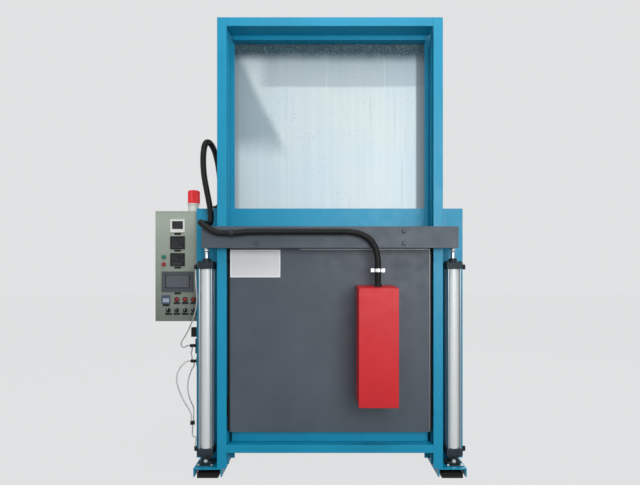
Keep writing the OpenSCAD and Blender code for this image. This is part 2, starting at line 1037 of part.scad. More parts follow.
// Tubes: a route of hand-chosen points, bent at each inner point by a parabola

function middle(a, b) = (a + b) / 2;

function bend(a, b, c, steps) = [
    for (i = [0 : steps]) let (t = i / steps) (1 - t) * (1 - t) * a + 2 * t * (1 - t) * b + t * t * c
];

function line_through(points, steps = 12) = [
    points[0],
    for (i = [1 : len(points) - 2])
        each bend(middle(points[i - 1], points[i]), points[i], middle(points[i], points[i + 1]), steps),
    points[len(points) - 1]
];

// Length of the line up to each of its points
function step_to(line, i) = i < len(line) ? norm(line[i] - line[i - 1]) : 0;

function lengths(line) = [
    for (i = 0, total = 0; i < len(line); i = i + 1, total = total + step_to(line, i)) total
];

function segment_at(marks, place, i = 1) =
    i >= len(marks) - 1 || marks[i] >= place ? i : segment_at(marks, place, i + 1);

function point_at(line, marks, place) =
    let (i = segment_at(marks, place), span = marks[i] - marks[i - 1])
    line[i - 1] + (line[i] - line[i - 1]) * (span > 0 ? (place - marks[i - 1]) / span : 0);

// Evenly spaced points along a line
function stations(line, count) =
    let (marks = lengths(line), total = marks[len(marks) - 1])
    [for (i = [0 : count]) i == count ? line[len(line) - 1] : point_at(line, marks, total * i / count)];

function unit(v) = v / norm(v);

function headings(line) = [
    for (i = [0 : len(line) - 1])
        unit(line[min(i + 1, len(line) - 1)] - line[max(i - 1, 0)])
];

function square_to(v, heading) = unit(v - heading * (v * heading));

// A direction across the line at each point, carried along without twist
function sideways(directions, first) = [
    for (
        i = 0, across = square_to(first, directions[0]);
        i < len(directions);
        i = i + 1, across = i < len(directions) ? square_to(across, directions[i]) : across
    ) across
];

function rings(line, radii, sides, first) =
    let (directions = headings(line), across = sideways(directions, first))
    [
        for (i = [0 : len(line) - 1])
            let (up = cross(directions[i], across[i]))
            for (k = [0 : sides - 1])
                let (angle = 360 * k / sides)
                line[i] + radii[i] * (cos(angle) * across[i] + sin(angle) * up)
    ];

// Faces of a skin of rings whose points start at a given number
function skin(count, sides, start, outward) = [
    for (i = [0 : count - 2], k = [0 : sides - 1])
        let (
            a = start + i * sides + k,
            b = start + i * sides + (k + 1) % sides,
            c = a + sides,
            d = b + sides
        )
        each outward ? [[a, c, b], [b, c, d]] : [[a, b, c], [b, d, c]]
];

// The flat ring between an outer and an inner circle at an end of a hose
function hose_end(outer, inner, sides, first) = [
    for (k = [0 : sides - 1])
        let (a = outer + k, b = outer + (k + 1) % sides, c = inner + k, d = inner + (k + 1) % sides)
        each first ? [[a, b, c], [b, d, c]] : [[a, c, b], [b, c, d]]
];

// The stations of a line with one more ring close to each end, so that the ends are square to the line
end_step = 5;

function squared_ends(line, inner) =
    let (last = len(line) - 1)
    [
        line[0],
        line[0] + end_step * unit(line[1] - line[0]),
        for (i = [1 : len(inner) - 2]) inner[i],
        line[last] + end_step * unit(line[last - 1] - line[last]),
        line[last]
    ];

hose_sides = 8;
bore_rings = 48;

// A ribbed hose with its bore: the outer skin has a crest and a groove for each rib
module ribbed_hose(points, ribs, across) {
    line = line_through(points);
    outside = stations(line, 2 * ribs);
    inside = squared_ends(line, stations(line, bore_rings));
    crest = conduit_diameter / 2;
    count = len(outside);
    radii = [for (i = [0 : count - 1]) i % 2 == 0 ? crest : crest - groove_depth];
    outer_points = rings(outside, radii, hose_sides, across);
    inner_points = rings(inside, [for (p = inside) conduit_bore / 2], hose_sides, across);
    start = len(outer_points);
    polyhedron(
        concat(outer_points, inner_points),
        concat(
            skin(count, hose_sides, 0, true),
            skin(len(inside), hose_sides, start, false),
            hose_end(0, start, hose_sides, true),
            hose_end(start - hose_sides, start + len(inner_points) - hose_sides, hose_sides, false)
        ),
        convexity = 10
    );
}

tube_sides = 8;
ring_step = 28;

module plain_tube(points, diameter) {
    line = line_through(points);
    marks = lengths(line);
    count = round(marks[len(marks) - 1] / ring_step);
    places = squared_ends(line, stations(line, count));
    first = [for (k = [tube_sides - 1 : -1 : 0]) k];
    last = [for (k = [0 : tube_sides - 1]) (len(places) - 1) * tube_sides + k];
    polyhedron(
        rings(places, [for (p = places) diameter / 2], tube_sides, [0, 1, 0.2]),
        concat(
            skin(len(places), tube_sides, 0, true),
            [for (k = [1 : tube_sides - 2]) [0, k, k + 1]],
            [for (k = [1 : tube_sides - 2]) [last[0], last[k + 1], last[k]]]
        ),
        convexity = 10
    );
}

// Least gap between parts of a tube that lie more than a few diameters apart along it
function least_gap(points, diameter) =
    let (
        line = stations(line_through(points), 80),
        apart = ceil(4 * diameter / norm(line[1] - line[0])),
        last = len(line) - 1
    )
    min([for (i = [0 : last - apart], k = [i + apart : last]) norm(line[i] - line[k])]) - diameter;

// Conduit: up from the terminal cover, left along the crossbar, then a free loop down to the roof

conduit_y = crossbar_face - 28;
conduit_z = crossbar_bottom + 88;
conduit_rise = 9;
conduit_x = cover_offset + 8;
collar_top = cover_front_top + 18;
side_x = -half_gantry;
cut_x = side_x + 72;
gland_x = side_x - 48;
gland_y = back_face + 127;
gland_height = 46;
gland_flange = 32;
gland_top = body_top + gland_height;
gland_bore = 28;

door_route = [
    [conduit_x, conduit_y, collar_top],
    [conduit_x, conduit_y, collar_top + 100],
    [conduit_x, conduit_y, conduit_z - 147],
    [conduit_x - 22, conduit_y, conduit_z - 66],
    [conduit_x - 76, conduit_y, conduit_z - 14],
    [conduit_x - 160, conduit_y, conduit_z + conduit_rise],
    [0, conduit_y, conduit_z + conduit_rise],
    [-300, conduit_y, conduit_z + conduit_rise],
    [cut_x + 130, conduit_y, conduit_z + conduit_rise],
    [cut_x + 70, conduit_y, conduit_z],
    [cut_x, conduit_y, conduit_z]
];

loop_route = [
    [cut_x, conduit_y, conduit_z],
    [side_x + 22, conduit_y, conduit_z],
    [side_x - 24, conduit_y, conduit_z + 24],
    [side_x - 80, conduit_y, conduit_z + 63],
    [side_x - 91, -40, conduit_z + 71],
    [side_x - 85, 30, conduit_z + 69],
    [side_x - 64, 96, conduit_z + 75],
    [side_x - 62, 108, 1670],
    [side_x - 74, 110, 1750],
    [side_x - 92, 112, 1836],
    [side_x - 112, 116, 1940],
    [side_x - 119, 122, 2050],
    [side_x - 114, 146, 2150],
    [side_x - 96, 190, 2175],
    [side_x - 74, 240, 2143],
    [side_x - 56, 274, 2056],
    [side_x - 45, 302, 1945],
    [gland_x, gland_y, gland_top + 90],
    [gland_x, gland_y, gland_top]
];

module door_conduit() {
    color(black) placed() ribbed_hose(door_route, door_conduit_ribs, [0, 1, 0]);
}

module conduit_loop() {
    color(black) placed() ribbed_hose(loop_route, loop_conduit_ribs, [0, 1, 0]);
}

echo(door_conduit_gap = least_gap(door_route, conduit_diameter));
echo(conduit_loop_gap = least_gap(loop_route, conduit_diameter));

module roof_gland() {
    color(black) placed() difference() {
        union() {
            bar_z(gland_x, gland_y, body_top, body_top + gland_flange, conduit_diameter / 2 + 30);
            bar_z(gland_x, gland_y, body_top, gland_top, conduit_diameter / 2 + 4);
        }
        bar_z(gland_x, gland_y, body_top - overrun, gland_top + overrun, gland_bore / 2);
    }
}

// Clamps round the conduit: a ring and a stem to what carries it, with two ears on the lower one
clamp_wall = 4;
clamp_length = 20;
ear_reach = 18;
ear_height = 8;
clamp_row = cover_front_top + 106;
saddle_x = cut_x + 40;
stem_width = 20;

// The clamp's ring lies round Z, its stem runs towards +Y as far as the seat
module clamp(seat, ears) {
    ring = conduit_diameter / 2 + slack;
    difference() {
        union() {
            bar_z(0, 0, -clamp_length / 2, clamp_length / 2, ring + clamp_wall);
            block(
                [-ring - clamp_wall - ears, -ear_height / 2, -clamp_length / 2],
                [ring + clamp_wall + ears, ear_height / 2, clamp_length / 2]
            );
            block([-stem_width / 2, ring, -clamp_length / 2], [stem_width / 2, seat, clamp_length / 2]);
        }
        bar_z(0, 0, -clamp_length, clamp_length, ring);
    }
}

module conduit_clamps() {
    color(black) placed() {
        translate([conduit_x, conduit_y, clamp_row]) clamp(door_face - conduit_y, ear_reach);
        translate([saddle_x, conduit_y, conduit_z]) rotate([0, 90, 0]) clamp(crossbar_face - conduit_y, 0);
        difference() {
            bar_z(conduit_x, conduit_y, cover_front_top, collar_top, conduit_diameter / 2 + clamp_wall / 2);
            bar_z(conduit_x, conduit_y, cover_front_top - overrun, collar_top + overrun, gland_bore / 2);
            cover_form(0);
        }
    }
}

// Air tubes, from the left cylinder's ports to the valves
fitting_x = -port_x - fitting_reach;

union_top = union_place.z + union_size.z / 2;
union_bottom = union_place.z - union_size.z / 2;

wall_x = -half_body;

air_routes = [
    [
        [fitting_x, cylinder_setback, port_head - fitting_drop],
        [fitting_x, cylinder_setback, port_head - 80],
        [wall_x - 46, 90, 1190],
        [wall_x - 44, 104, 1130],
        [wall_x - 60, 134, 1050],
        [wall_x - 106, 192, 954],
        [wall_x - 154, 240, 877],
        [wall_x - 204, 272, 812],
        [wall_x - 186, valve_y, 776],
        [wall_x - 160, valve_y, valve_rows[1]],
        [-half_body - valve_reaches[1] - nozzle_reach, valve_y, valve_rows[1]]
    ],
    [
        [-half_body - valve_reaches[2] - nozzle_reach, valve_y, valve_rows[2]],
        [wall_x - 165, valve_y, valve_rows[2]],
        [wall_x - 210, 268, 640],
        [wall_x - 230, 264, 580],
        [wall_x - 220, 260, 520],
        [wall_x - 180, 250, 430],
        [wall_x - 130, 228, 370],
        [union_place.x - union_step, union_place.y, union_top + 40],
        [union_place.x - union_step, union_place.y, union_top]
    ],
    [
        [wall_x - 124, valve_y, valve_rows[1] - nozzle_radius],
        [wall_x - 124, valve_y, valve_rows[1] - nozzle_radius - 24],
        [wall_x - 134, valve_y, 743],
        [wall_x - 124, valve_y, valve_rows[2] + nozzle_radius + 24],
        [wall_x - 124, valve_y, valve_rows[2] + nozzle_radius]
    ],
    [
        [wall_x - 110, valve_y, valve_rows[2] - nozzle_radius],
        [wall_x - 110, valve_y, valve_rows[2] - nozzle_radius - 24],
        [wall_x - 130, 276, 630],
        [wall_x - 156, 272, 540],
        [wall_x - 146, 264, 450],
        [wall_x - 102, 240, 380],
        [union_place.x + union_step, union_place.y, union_top + 40],
        [union_place.x + union_step, union_place.y, union_top]
    ],
    [
        [union_place.x, union_place.y, union_bottom],
        [union_place.x, union_place.y, union_bottom - 36],
        [wall_x - 90, 150, 214],
        [fitting_x, 104, 226],
        [fitting_x, cylinder_setback, 210],
        [fitting_x, cylinder_setback, port_end + fitting_drop]
    ]
];

module air_tubes() {
    color("#c9cdcf") placed() for (route = air_routes) plain_tube(route, air_tube_diameter);
}

// Door

pad_reach = 50;
pad_span = 55;
tapped_depth = 24;
crossbar_bolt_diameter = 16;

module crossbar_bolt_places() {
    reach_x = crossbar_bolt_span / 2;
    reach_z = crossbar_bolt_pitch / 2;
    for (x = [-reach_x, reach_x], z = [-reach_z, reach_z]) translate([x, 0, crossbar_middle + z]) children();
}

module door_shell() {
    color(dark_grey) placed() difference() {
        union() {
            block([-half_door, door_face, door_bottom], [half_door, door_back, door_top]);
            for (x = [-crossbar_bolt_span / 2, crossbar_bolt_span / 2])
                block(
                    [x - pad_reach, crossbar_back, crossbar_middle - pad_span],
                    [x + pad_reach, door_face + door_skin / 2, crossbar_middle + pad_span]
                );
        }
        block(
            [-half_door + door_skin, door_face + door_skin, door_bottom + door_skin],
            [half_door - door_skin, door_back + overrun, door_top - door_skin]
        );
        crossbar_bolt_places() bar_y(
            0,
            0,
            crossbar_back - overrun,
            crossbar_back + tapped_depth,
            crossbar_bolt_diameter / 2 + slack
        );
    }
}

// The door's heater sits in a pocket in its lining, as wide and high as the side heaters leave it
half_door_heater = half_chamber - heater_wall - heater_margin;
door_heater_bottom = chamber_floor + heater_margin;
door_heater_top = chamber_top - heater_margin;

module door_lining() {
    inner = half_door - door_skin;
    color(lining_white) placed() difference() {
        block(
            [-inner, door_face + door_skin, door_bottom + door_skin],
            [inner, door_back, door_top - door_skin]
        );
        block(
            [-half_door_heater, door_back - heater_wall, door_heater_bottom],
            [half_door_heater, door_back + overrun, door_heater_top]
        );
    }
}

module door_heater() {
    color("#b9a184") placed() translate([-half_door_heater, door_back - heater_wall, door_heater_bottom])
        heater_panel(2 * half_door_heater, door_heater_top - door_heater_bottom, heater_wall);
}

rod_end_diameter = 20;
nut_height = 23;
top_nut_height = 16;
lug_reach = 30;
lug_inner = 44;
lug_back = 40;
rib_wall = 12;
rib_height = 76;

// A lug reaches back from the crossbar to the piston rod, with a rib on top
module lug() {
    rib_back = cylinder_setback - 25;
    difference() {
        union() {
            translate([0, 0, lug_bottom]) linear_extrude(lug_wall) polygon([
                [half_span - lug_inner, crossbar_back - crossbar_wall / 2],
                [half_crossbar, crossbar_back - crossbar_wall / 2],
                [half_span + lug_reach, cylinder_setback - lug_reach],
                [half_span + lug_reach, cylinder_setback + lug_back],
                [half_span - lug_reach, cylinder_setback + lug_back]
            ]);
            translate([half_crossbar - rib_wall, 0, 0]) rotate([90, 0, 90]) linear_extrude(rib_wall) polygon([
                [crossbar_back - crossbar_wall / 2, lug_top - overrun],
                [rib_back, lug_top - overrun],
                [crossbar_back - crossbar_wall / 2, lug_top + rib_height]
            ]);
        }
        bar_z(
            half_span,
            cylinder_setback,
            lug_bottom - overrun,
            lug_top + overrun,
            rod_end_diameter / 2 + slack
        );
    }
}

module crossbar() {
    color(dark_grey) placed() difference() {
        union() {
            tube_along_x(
                [-half_crossbar, crossbar_face, crossbar_bottom],
                [half_crossbar, crossbar_back, crossbar_top],
                crossbar_wall
            );
            both_sides() lug();
        }
        crossbar_bolt_places()
            bar_y(0, 0, crossbar_face - overrun, crossbar_back + overrun, crossbar_bolt_diameter / 2 + slack);
    }
}

crossbar_head_height = 7;
head_share = 0.8;

module crossbar_fasteners() {
    head_radius = crossbar_bolt_diameter * head_share;
    nut_radius = rod_end_diameter * head_share;
    color(steel) placed() {
        crossbar_bolt_places() union() {
            bar_y(0, 0, crossbar_face - crossbar_head_height, crossbar_face, head_radius);
            bar_y(
                0,
                0,
                crossbar_face - overrun,
                crossbar_back + tapped_depth - overrun,
                crossbar_bolt_diameter / 2
            );
        }
        both_sides() at_cylinder() {
            rod_nut(lug_bottom - nut_height, nut_height, nut_radius);
            rod_nut(lug_top, top_nut_height, nut_radius);
        }
    }
}

module rod_nut(bottom, height, radius) {
    translate([0, 0, bottom]) difference() {
        cylinder(r = radius, h = height, $fn = 6);
        translate([0, 0, -overrun]) cylinder(r = rod_end_diameter / 2 + fit, h = height + 2 * overrun);
    }
}

module piston_rods() {
    piston_bottom = tube_bottom + piston_gap;
    rod_top = lug_bottom - nut_height;
    color(steel) placed() both_sides() at_cylinder() union() {
        bar_z(0, 0, piston_bottom, piston_bottom + piston_height, tube_bore / 2 - fit);
        bar_z(0, 0, piston_bottom, rod_top, rod_diameter / 2);
        bar_z(0, 0, rod_top - overrun, lug_top + top_nut_height + 2 * bolt_end, rod_end_diameter / 2);
    }
}

// The terminal cover seen from its side, shrunk by a wall on every side but the open back
module cover_profile(wall) {
    polygon([
        [cover_face + wall, cover_bottom + wall],
        [door_face + (wall > 0 ? overrun : 0), cover_bottom + wall],
        [door_face + (wall > 0 ? overrun : 0), cover_front_top + cover_slope - wall],
        [cover_face + wall, cover_front_top - wall]
    ]);
}

module cover_form(wall) {
    reach = cover_width / 2 - wall;
    translate([cover_offset - reach, 0, 0]) rotate([90, 0, 90]) linear_extrude(2 * reach) cover_profile(wall);
}

module terminal_cover() {
    color(red) placed() difference() {
        cover_form(0);
        cover_form(cover_wall);
        bar_z(conduit_x, conduit_y, cover_bottom + cover_height / 2, collar_top, gland_bore / 2);
    }
}

nameplate_gap = 8;
nameplate_inset = 3;

module nameplate() {
    left = -half_door + nameplate_inset;
    top = crossbar_bottom - nameplate_gap;
    color(white) placed() block(
        [left, door_face - nameplate_wall, top - nameplate_height],
        [left + nameplate_width, door_face, top]
    );
}

// Guide shoes grip the rails inside the posts
shoe_height = 120;
shoe_cheek = 12;
shoe_inset = 90;
shoe_gap = 0.5;

module guide_shoes() {
    outer = half_gantry - post_wall - 16;
    color(black) placed() both_sides()
        for (z = [door_bottom + shoe_inset, door_top - shoe_inset - shoe_height])
            difference() {
                block(
                    [half_door, rail_setback - shoe_cheek, z],
                    [outer, rail_setback + rail_wall + shoe_cheek, z + shoe_height]
                );
                block(
                    [rail_edge - shoe_gap, rail_setback - shoe_gap, z - overrun],
                    [outer + overrun, rail_setback + rail_wall + shoe_gap, z + shoe_height + overrun]
                );
            }
}

foot(-1);  // foot_left
foot(1);  // foot_right
foot_pads();
base_frame();
casing_sides();
casing_roof();
casing_rear();
front_plate();
lining_walls();
lining_roof();
lining_floor();
hearth_plate();
side_heaters();
mouth_ring();
post(-1);  // post_left
post(1);  // post_right
top_beam();
sill_beam();
door_rest();
guide_rails();
back_sheet();
cylinder_tubes();
cylinder_heads();
cylinder_ends();
tie_rods();
cylinder_brackets();
bracket_fasteners();
air_fittings();
control_box();
control_panel();
recorder();
controllers();
operator_screen();
meter();
panel_lamps();
label_plates();
panel_bezels();
start_button();
stop_button();
switch(1);  // switch_1
switch(2);  // switch_2
switch(3);  // switch_3
switch(4);  // switch_4
beacon_base();
beacon_lens();
air_valves();
air_tubes();
roof_gland();
conduit_loop();
door_shell();
door_lining();
door_heater();
crossbar();
crossbar_fasteners();
terminal_cover();
nameplate();
door_conduit();
conduit_clamps();
piston_rods();
guide_shoes();
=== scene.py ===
import bpy
import bmesh
import json
import math
from mathutils import Matrix, Vector


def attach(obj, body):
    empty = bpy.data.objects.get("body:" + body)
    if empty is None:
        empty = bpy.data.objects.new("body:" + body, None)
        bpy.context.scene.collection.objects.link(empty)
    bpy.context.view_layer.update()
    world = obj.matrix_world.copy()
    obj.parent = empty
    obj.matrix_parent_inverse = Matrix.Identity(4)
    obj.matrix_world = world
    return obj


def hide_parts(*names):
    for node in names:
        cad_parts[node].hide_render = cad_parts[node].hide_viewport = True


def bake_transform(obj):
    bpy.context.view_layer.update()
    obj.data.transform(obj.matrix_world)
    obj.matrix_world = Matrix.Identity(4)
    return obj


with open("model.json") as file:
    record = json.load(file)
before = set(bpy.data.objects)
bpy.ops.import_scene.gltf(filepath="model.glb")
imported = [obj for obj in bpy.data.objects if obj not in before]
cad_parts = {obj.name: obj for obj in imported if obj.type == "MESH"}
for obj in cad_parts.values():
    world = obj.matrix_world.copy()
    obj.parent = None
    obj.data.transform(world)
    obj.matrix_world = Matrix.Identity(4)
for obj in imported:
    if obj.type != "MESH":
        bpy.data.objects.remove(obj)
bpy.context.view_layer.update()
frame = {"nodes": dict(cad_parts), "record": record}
bodyOf = {name: body for body, names in frame["record"]["behaviour"]["bodies"].items() for name in names}
slotOf = {part["node"]: part["material_slot"] for part in frame["record"]["subparts"]}


# The drawing's own millimetres: x from the gantry's middle, y from its front, z from the floor
drawing = {"x": 144.0, "y": -684.5}


def at(x, y, z):
    return Vector(((x + drawing["x"]) / 1000, (y + drawing["y"]) / 1000, z / 1000))


def linear(code):
    parts = [int(code[i:i + 2], 16) / 255 for i in (1, 3, 5)]
    return [c / 12.92 if c <= 0.04045 else ((c + 0.055) / 1.055) ** 2.4 for c in parts] + [1.0]


def deselect():
    if bpy.context.object and bpy.context.object.mode != "OBJECT":
        bpy.ops.object.mode_set(mode="OBJECT")
    bpy.ops.object.select_all(action="DESELECT")


deselect()


# Camera and lamps
camera = {"place": (-44, -3024, 1281), "lens": 27, "shiftX": -0.0047, "shiftY": 0.0508}

bpy.ops.object.camera_add(location=at(*camera["place"]), rotation=(math.pi / 2, 0, 0))
eye = bpy.context.object
eye.name = "photoCamera"
eye.data.lens = camera["lens"]
eye.data.shift_x = camera["shiftX"]
eye.data.shift_y = camera["shiftY"]
bpy.context.scene.camera = eye
bpy.context.scene.view_settings.view_transform = "Standard"

lamps = {
    "keyLamp": {"place": (1300, -4200, 2100), "aim": (0, 100, 1400), "size": 2.8, "power": 128},
    "fillLamp": {"place": (-3200, -2600, 1900), "aim": (-300, 100, 1300), "size": 2.4, "power": 16},
    "topLamp": {"place": (300, -1300, 4900), "aim": (0, 300, 1400), "size": 3.0, "power": 80},
    "rearLamp": {"place": (1600, 4600, 3000), "aim": (0, 900, 1200), "size": 2.6, "power": 90},
}

for name, lamp in lamps.items():
    bpy.ops.object.light_add(type="AREA", location=at(*lamp["place"]))
    light = bpy.context.object
    light.name = name
    light.data.size = lamp["size"]
    light.data.energy = lamp["power"]
    light.rotation_euler = (at(*lamp["aim"]) - at(*lamp["place"])).to_track_quat("-Z", "Y").to_euler()
print("camera and lamps are set")


# Cords: the same routes as in the drawing, in its millimetres
def bend(a, b, c, steps):
    shares = [i / steps for i in range(steps + 1)]
    return [a * (1 - t) ** 2 + b * (2 * t * (1 - t)) + c * t * t for t in shares]


def lineThrough(points, steps=12):
    line = [points[0]]
    for i in range(1, len(points) - 1):
        line += bend((points[i - 1] + points[i]) / 2, points[i], (points[i] + points[i + 1]) / 2, steps)
    return line + [points[-1]]


def stationsOn(line, step):
    marks = [0.0]
    for a, b in zip(line, line[1:]):
        marks.append(marks[-1] + (b - a).length)
    count = max(2, round(marks[-1] / step))
    places, i = [], 1
    for k in range(count + 1):
        want = marks[-1] * k / count
        while i < len(marks) - 1 and marks[i] < want:
            i += 1
        span = marks[i] - marks[i - 1]
        places.append(line[i - 1].lerp(line[i], (want - marks[i - 1]) / span if span else 0))
    return places, marks[-1]


def sweep(name, places, radii, sides, first, bore=0):
    # One closed skin round a line, with a bore where one is asked for
    shape = bmesh.new()
    rings, innerRings = [], []
    across = Vector(first)
    for i, place in enumerate(places):
        heading = (places[min(i + 1, len(places) - 1)] - places[max(i - 1, 0)]).normalized()
        across = (across - heading * across.dot(heading)).normalized()
        up = heading.cross(across)
        angles = [2 * math.pi * k / sides for k in range(sides)]
        spokes = [across * math.cos(angle) + up * math.sin(angle) for angle in angles]
        rings.append([shape.verts.new(place + s * radii[i]) for s in spokes])
        if bore:
            innerRings.append([shape.verts.new(place + s * bore) for s in spokes])
    for skinRings, turned in ((rings, False), (innerRings, True)):
        for a, b in zip(skinRings, skinRings[1:]):
            for k in range(sides):
                corners = [a[k], a[(k + 1) % sides], b[(k + 1) % sides], b[k]]
                shape.faces.new(corners[::-1] if turned else corners)
    if bore:
        for outer, inner, turned in ((rings[0], innerRings[0], True), (rings[-1], innerRings[-1], False)):
            for k in range(sides):
                corners = [outer[k], outer[(k + 1) % sides], inner[(k + 1) % sides], inner[k]]
                shape.faces.new(corners[::-1] if turned else corners)
    else:
        shape.faces.new(rings[0][::-1])
        shape.faces.new(rings[-1])
    mesh = bpy.data.meshes.new(name)
    shape.to_mesh(mesh)
    shape.free()
    mesh.shade_smooth()
    piece = bpy.data.objects.new(name, mesh)
    bpy.context.scene.collection.objects.link(piece)
    return piece


conduit = {"diameter": 0.040, "bore": 0.030, "ribPitch": 0.0085, "ribDepth": 0.0026, "sides": 20}
doorRoute = [
    (291, -94, 1221), (291, -94, 1321), (291, -94, 1390), (269, -94, 1471), (215, -94, 1523),
    (131, -94, 1546), (0, -94, 1546), (-300, -94, 1546), (-510, -94, 1546), (-570, -94, 1537),
    (-640, -94, 1537),
]
loopRoute = [
    (-640, -94, 1537), (-690, -94, 1537), (-736, -94, 1561), (-792, -94, 1600), (-803, -40, 1608),
    (-797, 30, 1606), (-776, 96, 1612), (-774, 108, 1670), (-786, 110, 1750), (-804, 112, 1836),
    (-824, 116, 1940), (-831, 122, 2050), (-826, 146, 2150), (-808, 190, 2175), (-786, 240, 2143),
    (-768, 274, 2056), (-757, 302, 1945), (-760, 315, 1861), (-760, 315, 1771),
]


def ribbedHose(name, route):
    # Corrugated tube: each rib is a rounded crest and a narrower groove
    places, length = stationsOn(lineThrough([at(*p) for p in route]), conduit["ribPitch"] / 4)
    crest = conduit["diameter"] / 2
    profile = [0.0, 0.25, 1.0, 0.25]
    radii = [crest - conduit["ribDepth"] * profile[i % 4] for i in range(len(places))]
    piece = sweep(name, places, radii, conduit["sides"], (0, 1, 0), conduit["bore"] / 2)
    return piece, places, length


doorHose = ribbedHose("doorHose", doorRoute)[0]
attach(doorHose, "door")
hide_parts("door_conduit")

loopHose, loopPath, loopLength = ribbedHose("loopHose", loopRoute)
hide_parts("conduit_loop")
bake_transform(loopHose)

airTube = {"diameter": 0.009, "sides": 12, "step": 0.009}
airRoutes = {
    "headTube": [(-869, 85, 1317), (-869, 85, 1261), (-866, 90, 1190), (-864, 104, 1130), (-880, 134, 1050),
                 (-926, 192, 954), (-974, 240, 877), (-1024, 272, 812), (-1006, 275, 776), (-980, 275, 796),
                 (-957, 275, 796)],
    "outerTube": [(-952, 275, 690), (-985, 275, 690), (-1030, 268, 640), (-1050, 264, 580), (-1040, 260, 520),
                  (-1000, 250, 430), (-950, 228, 370), (-931, 214, 338), (-931, 214, 298)],
    "linkTube": [(-944, 275, 785), (-944, 275, 761), (-954, 275, 743), (-944, 275, 725), (-944, 275, 701)],
    "innerTube": [(-930, 275, 679), (-930, 275, 655), (-950, 276, 630), (-976, 272, 540), (-966, 264, 450),
                  (-922, 240, 380), (-917, 214, 338), (-917, 214, 298)],
    "endTube": [(-924, 214, 272), (-924, 214, 236), (-910, 150, 214), (-869, 104, 226), (-869, 85, 210),
                (-869, 85, 174)],
}
airTubes = []
for name, route in airRoutes.items():
    places, length = stationsOn(lineThrough([at(*p) for p in route]), airTube["step"])
    tube = sweep(name, places, [airTube["diameter"] / 2] * len(places), airTube["sides"], (0, 1, 0.2))
    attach(tube, "frame")
    airTubes.append(tube)
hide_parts("air_tubes")
print("hoses and air tubes are laid")


# Materials
def addNode(tree, kind, settings):
    # A setting is a colour ramp's stops, a property of the node, or a socket's value, hex colour or link
    node = tree.nodes.new("ShaderNode" + kind)
    for key, value in settings.items():
        socket = node.inputs[key] if isinstance(key, int) else node.inputs.get(key)
        if key == "stops":
            while len(node.color_ramp.elements) < len(value):
                node.color_ramp.elements.new(0.5)
            for element, (place, colour) in zip(node.color_ramp.elements, value):
                element.position = place
                element.color = linear(colour) if isinstance(colour, str) else (colour, colour, colour, 1)
        elif socket is None:
            setattr(node, key, value)
        elif isinstance(value, bpy.types.NodeSocket):
            tree.links.new(value, socket)
        else:
            socket.default_value = linear(value) if isinstance(value, str) else value
    return node.outputs


def newMaterial(name, colour, sockets):
    material = bpy.data.materials.new(name)
    material.use_nodes = True
    tree = material.node_tree
    shader = tree.nodes["Principled BSDF"]
    shader.inputs["Base Color"].default_value = linear(colour)
    for key, value in sockets.items():
        shader.inputs[key].default_value = value
    return material, tree, shader, addNode(tree, "TexCoord", {})["Object"]


def feed(tree, shader, patterns):
    for socket, pattern in patterns.items():
        tree.links.new(pattern, shader.inputs[socket])


def mottle(tree, coords, scale, detail, stops, rough=0.5):
    # Noise sorted into the stops of a colour ramp
    clouds = addNode(tree, "TexNoise", {
        "Vector": coords, "Scale": scale, "Detail": detail, "Roughness": rough})["Fac"]
    return addNode(tree, "ValToRGB", {"Fac": clouds, "stops": stops})["Color"]


def emboss(tree, coords, scale, detail, strength, depth, rough=0.5):
    # Noise as a relief, its depth in metres
    grain = addNode(tree, "TexNoise", {
        "Vector": coords, "Scale": scale, "Detail": detail, "Roughness": rough})["Fac"]
    return addNode(tree, "Bump", {"Height": grain, "Strength": strength, "Distance": depth})["Normal"]


# Polyurethane enamel sprayed on sheet steel: an even coat with orange peel of about 3 mm, rubbed duller in
# patches a hand wide, with hairline scratches
def sprayedEnamel(name, colour, shade, rough, peel=0.10, scratches=0.25, sheen=0.4, paintedDarkening=None):
    material, tree, shader, coords = newMaterial(name, colour, {
        "Roughness": rough, "IOR": 1.48, "Specular IOR Level": sheen})
    tone = mottle(tree, coords, 2.4, 5, [(0.32, shade), (0.68, colour)], 0.6)
    drawn = addNode(tree, "Mapping", {"Vector": coords, "Scale": (900, 900, 14)})["Vector"]
    marks = mottle(tree, drawn, 1, 2, [(0.70, 0.0), (0.78, scratches)], 0.6)
    patch = mottle(tree, coords, 9, 3, [(0.45, 0.0), (0.62, 1.0)])
    worn = addNode(tree, "Math", {"operation": "MULTIPLY", 0: marks, 1: patch})[0]
    if paintedDarkening:
        # painted shade: the coat darkens to a shaded tone of its own colour from the first height down to the
        # second
        unshadedHeight, shadedHeight, shadeTone = paintedDarkening
        height = addNode(tree, "SeparateXYZ", {"Vector": coords})["Z"]
        share = addNode(tree, "MapRange", {
            "Value": height, "From Min": unshadedHeight, "From Max": shadedHeight, "To Max": 0.85})["Result"]
        tone = addNode(tree, "Mix", {"data_type": "RGBA", 0: share, 6: tone, 7: shadeTone})[2]
    pale = addNode(tree, "Mix", {"data_type": "RGBA", 0: worn, 6: tone, 7: "#c9d2d6"})[2]
    rubbed = addNode(tree, "TexNoise", {"Vector": coords, "Scale": 14, "Detail": 4, "Roughness": 0.6})["Fac"]
    gloss = addNode(tree, "MapRange", {
        "Value": rubbed, "From Min": 0.3, "From Max": 0.7, "To Min": rough - 0.06, "To Max": rough + 0.10})
    # 1 / 330 m is 3 mm
    relief = emboss(tree, coords, 330, 1, peel, 0.0006, 0.4)
    feed(tree, shader, {"Base Color": pale, "Roughness": gloss["Result"], "Normal": relief})
    return material
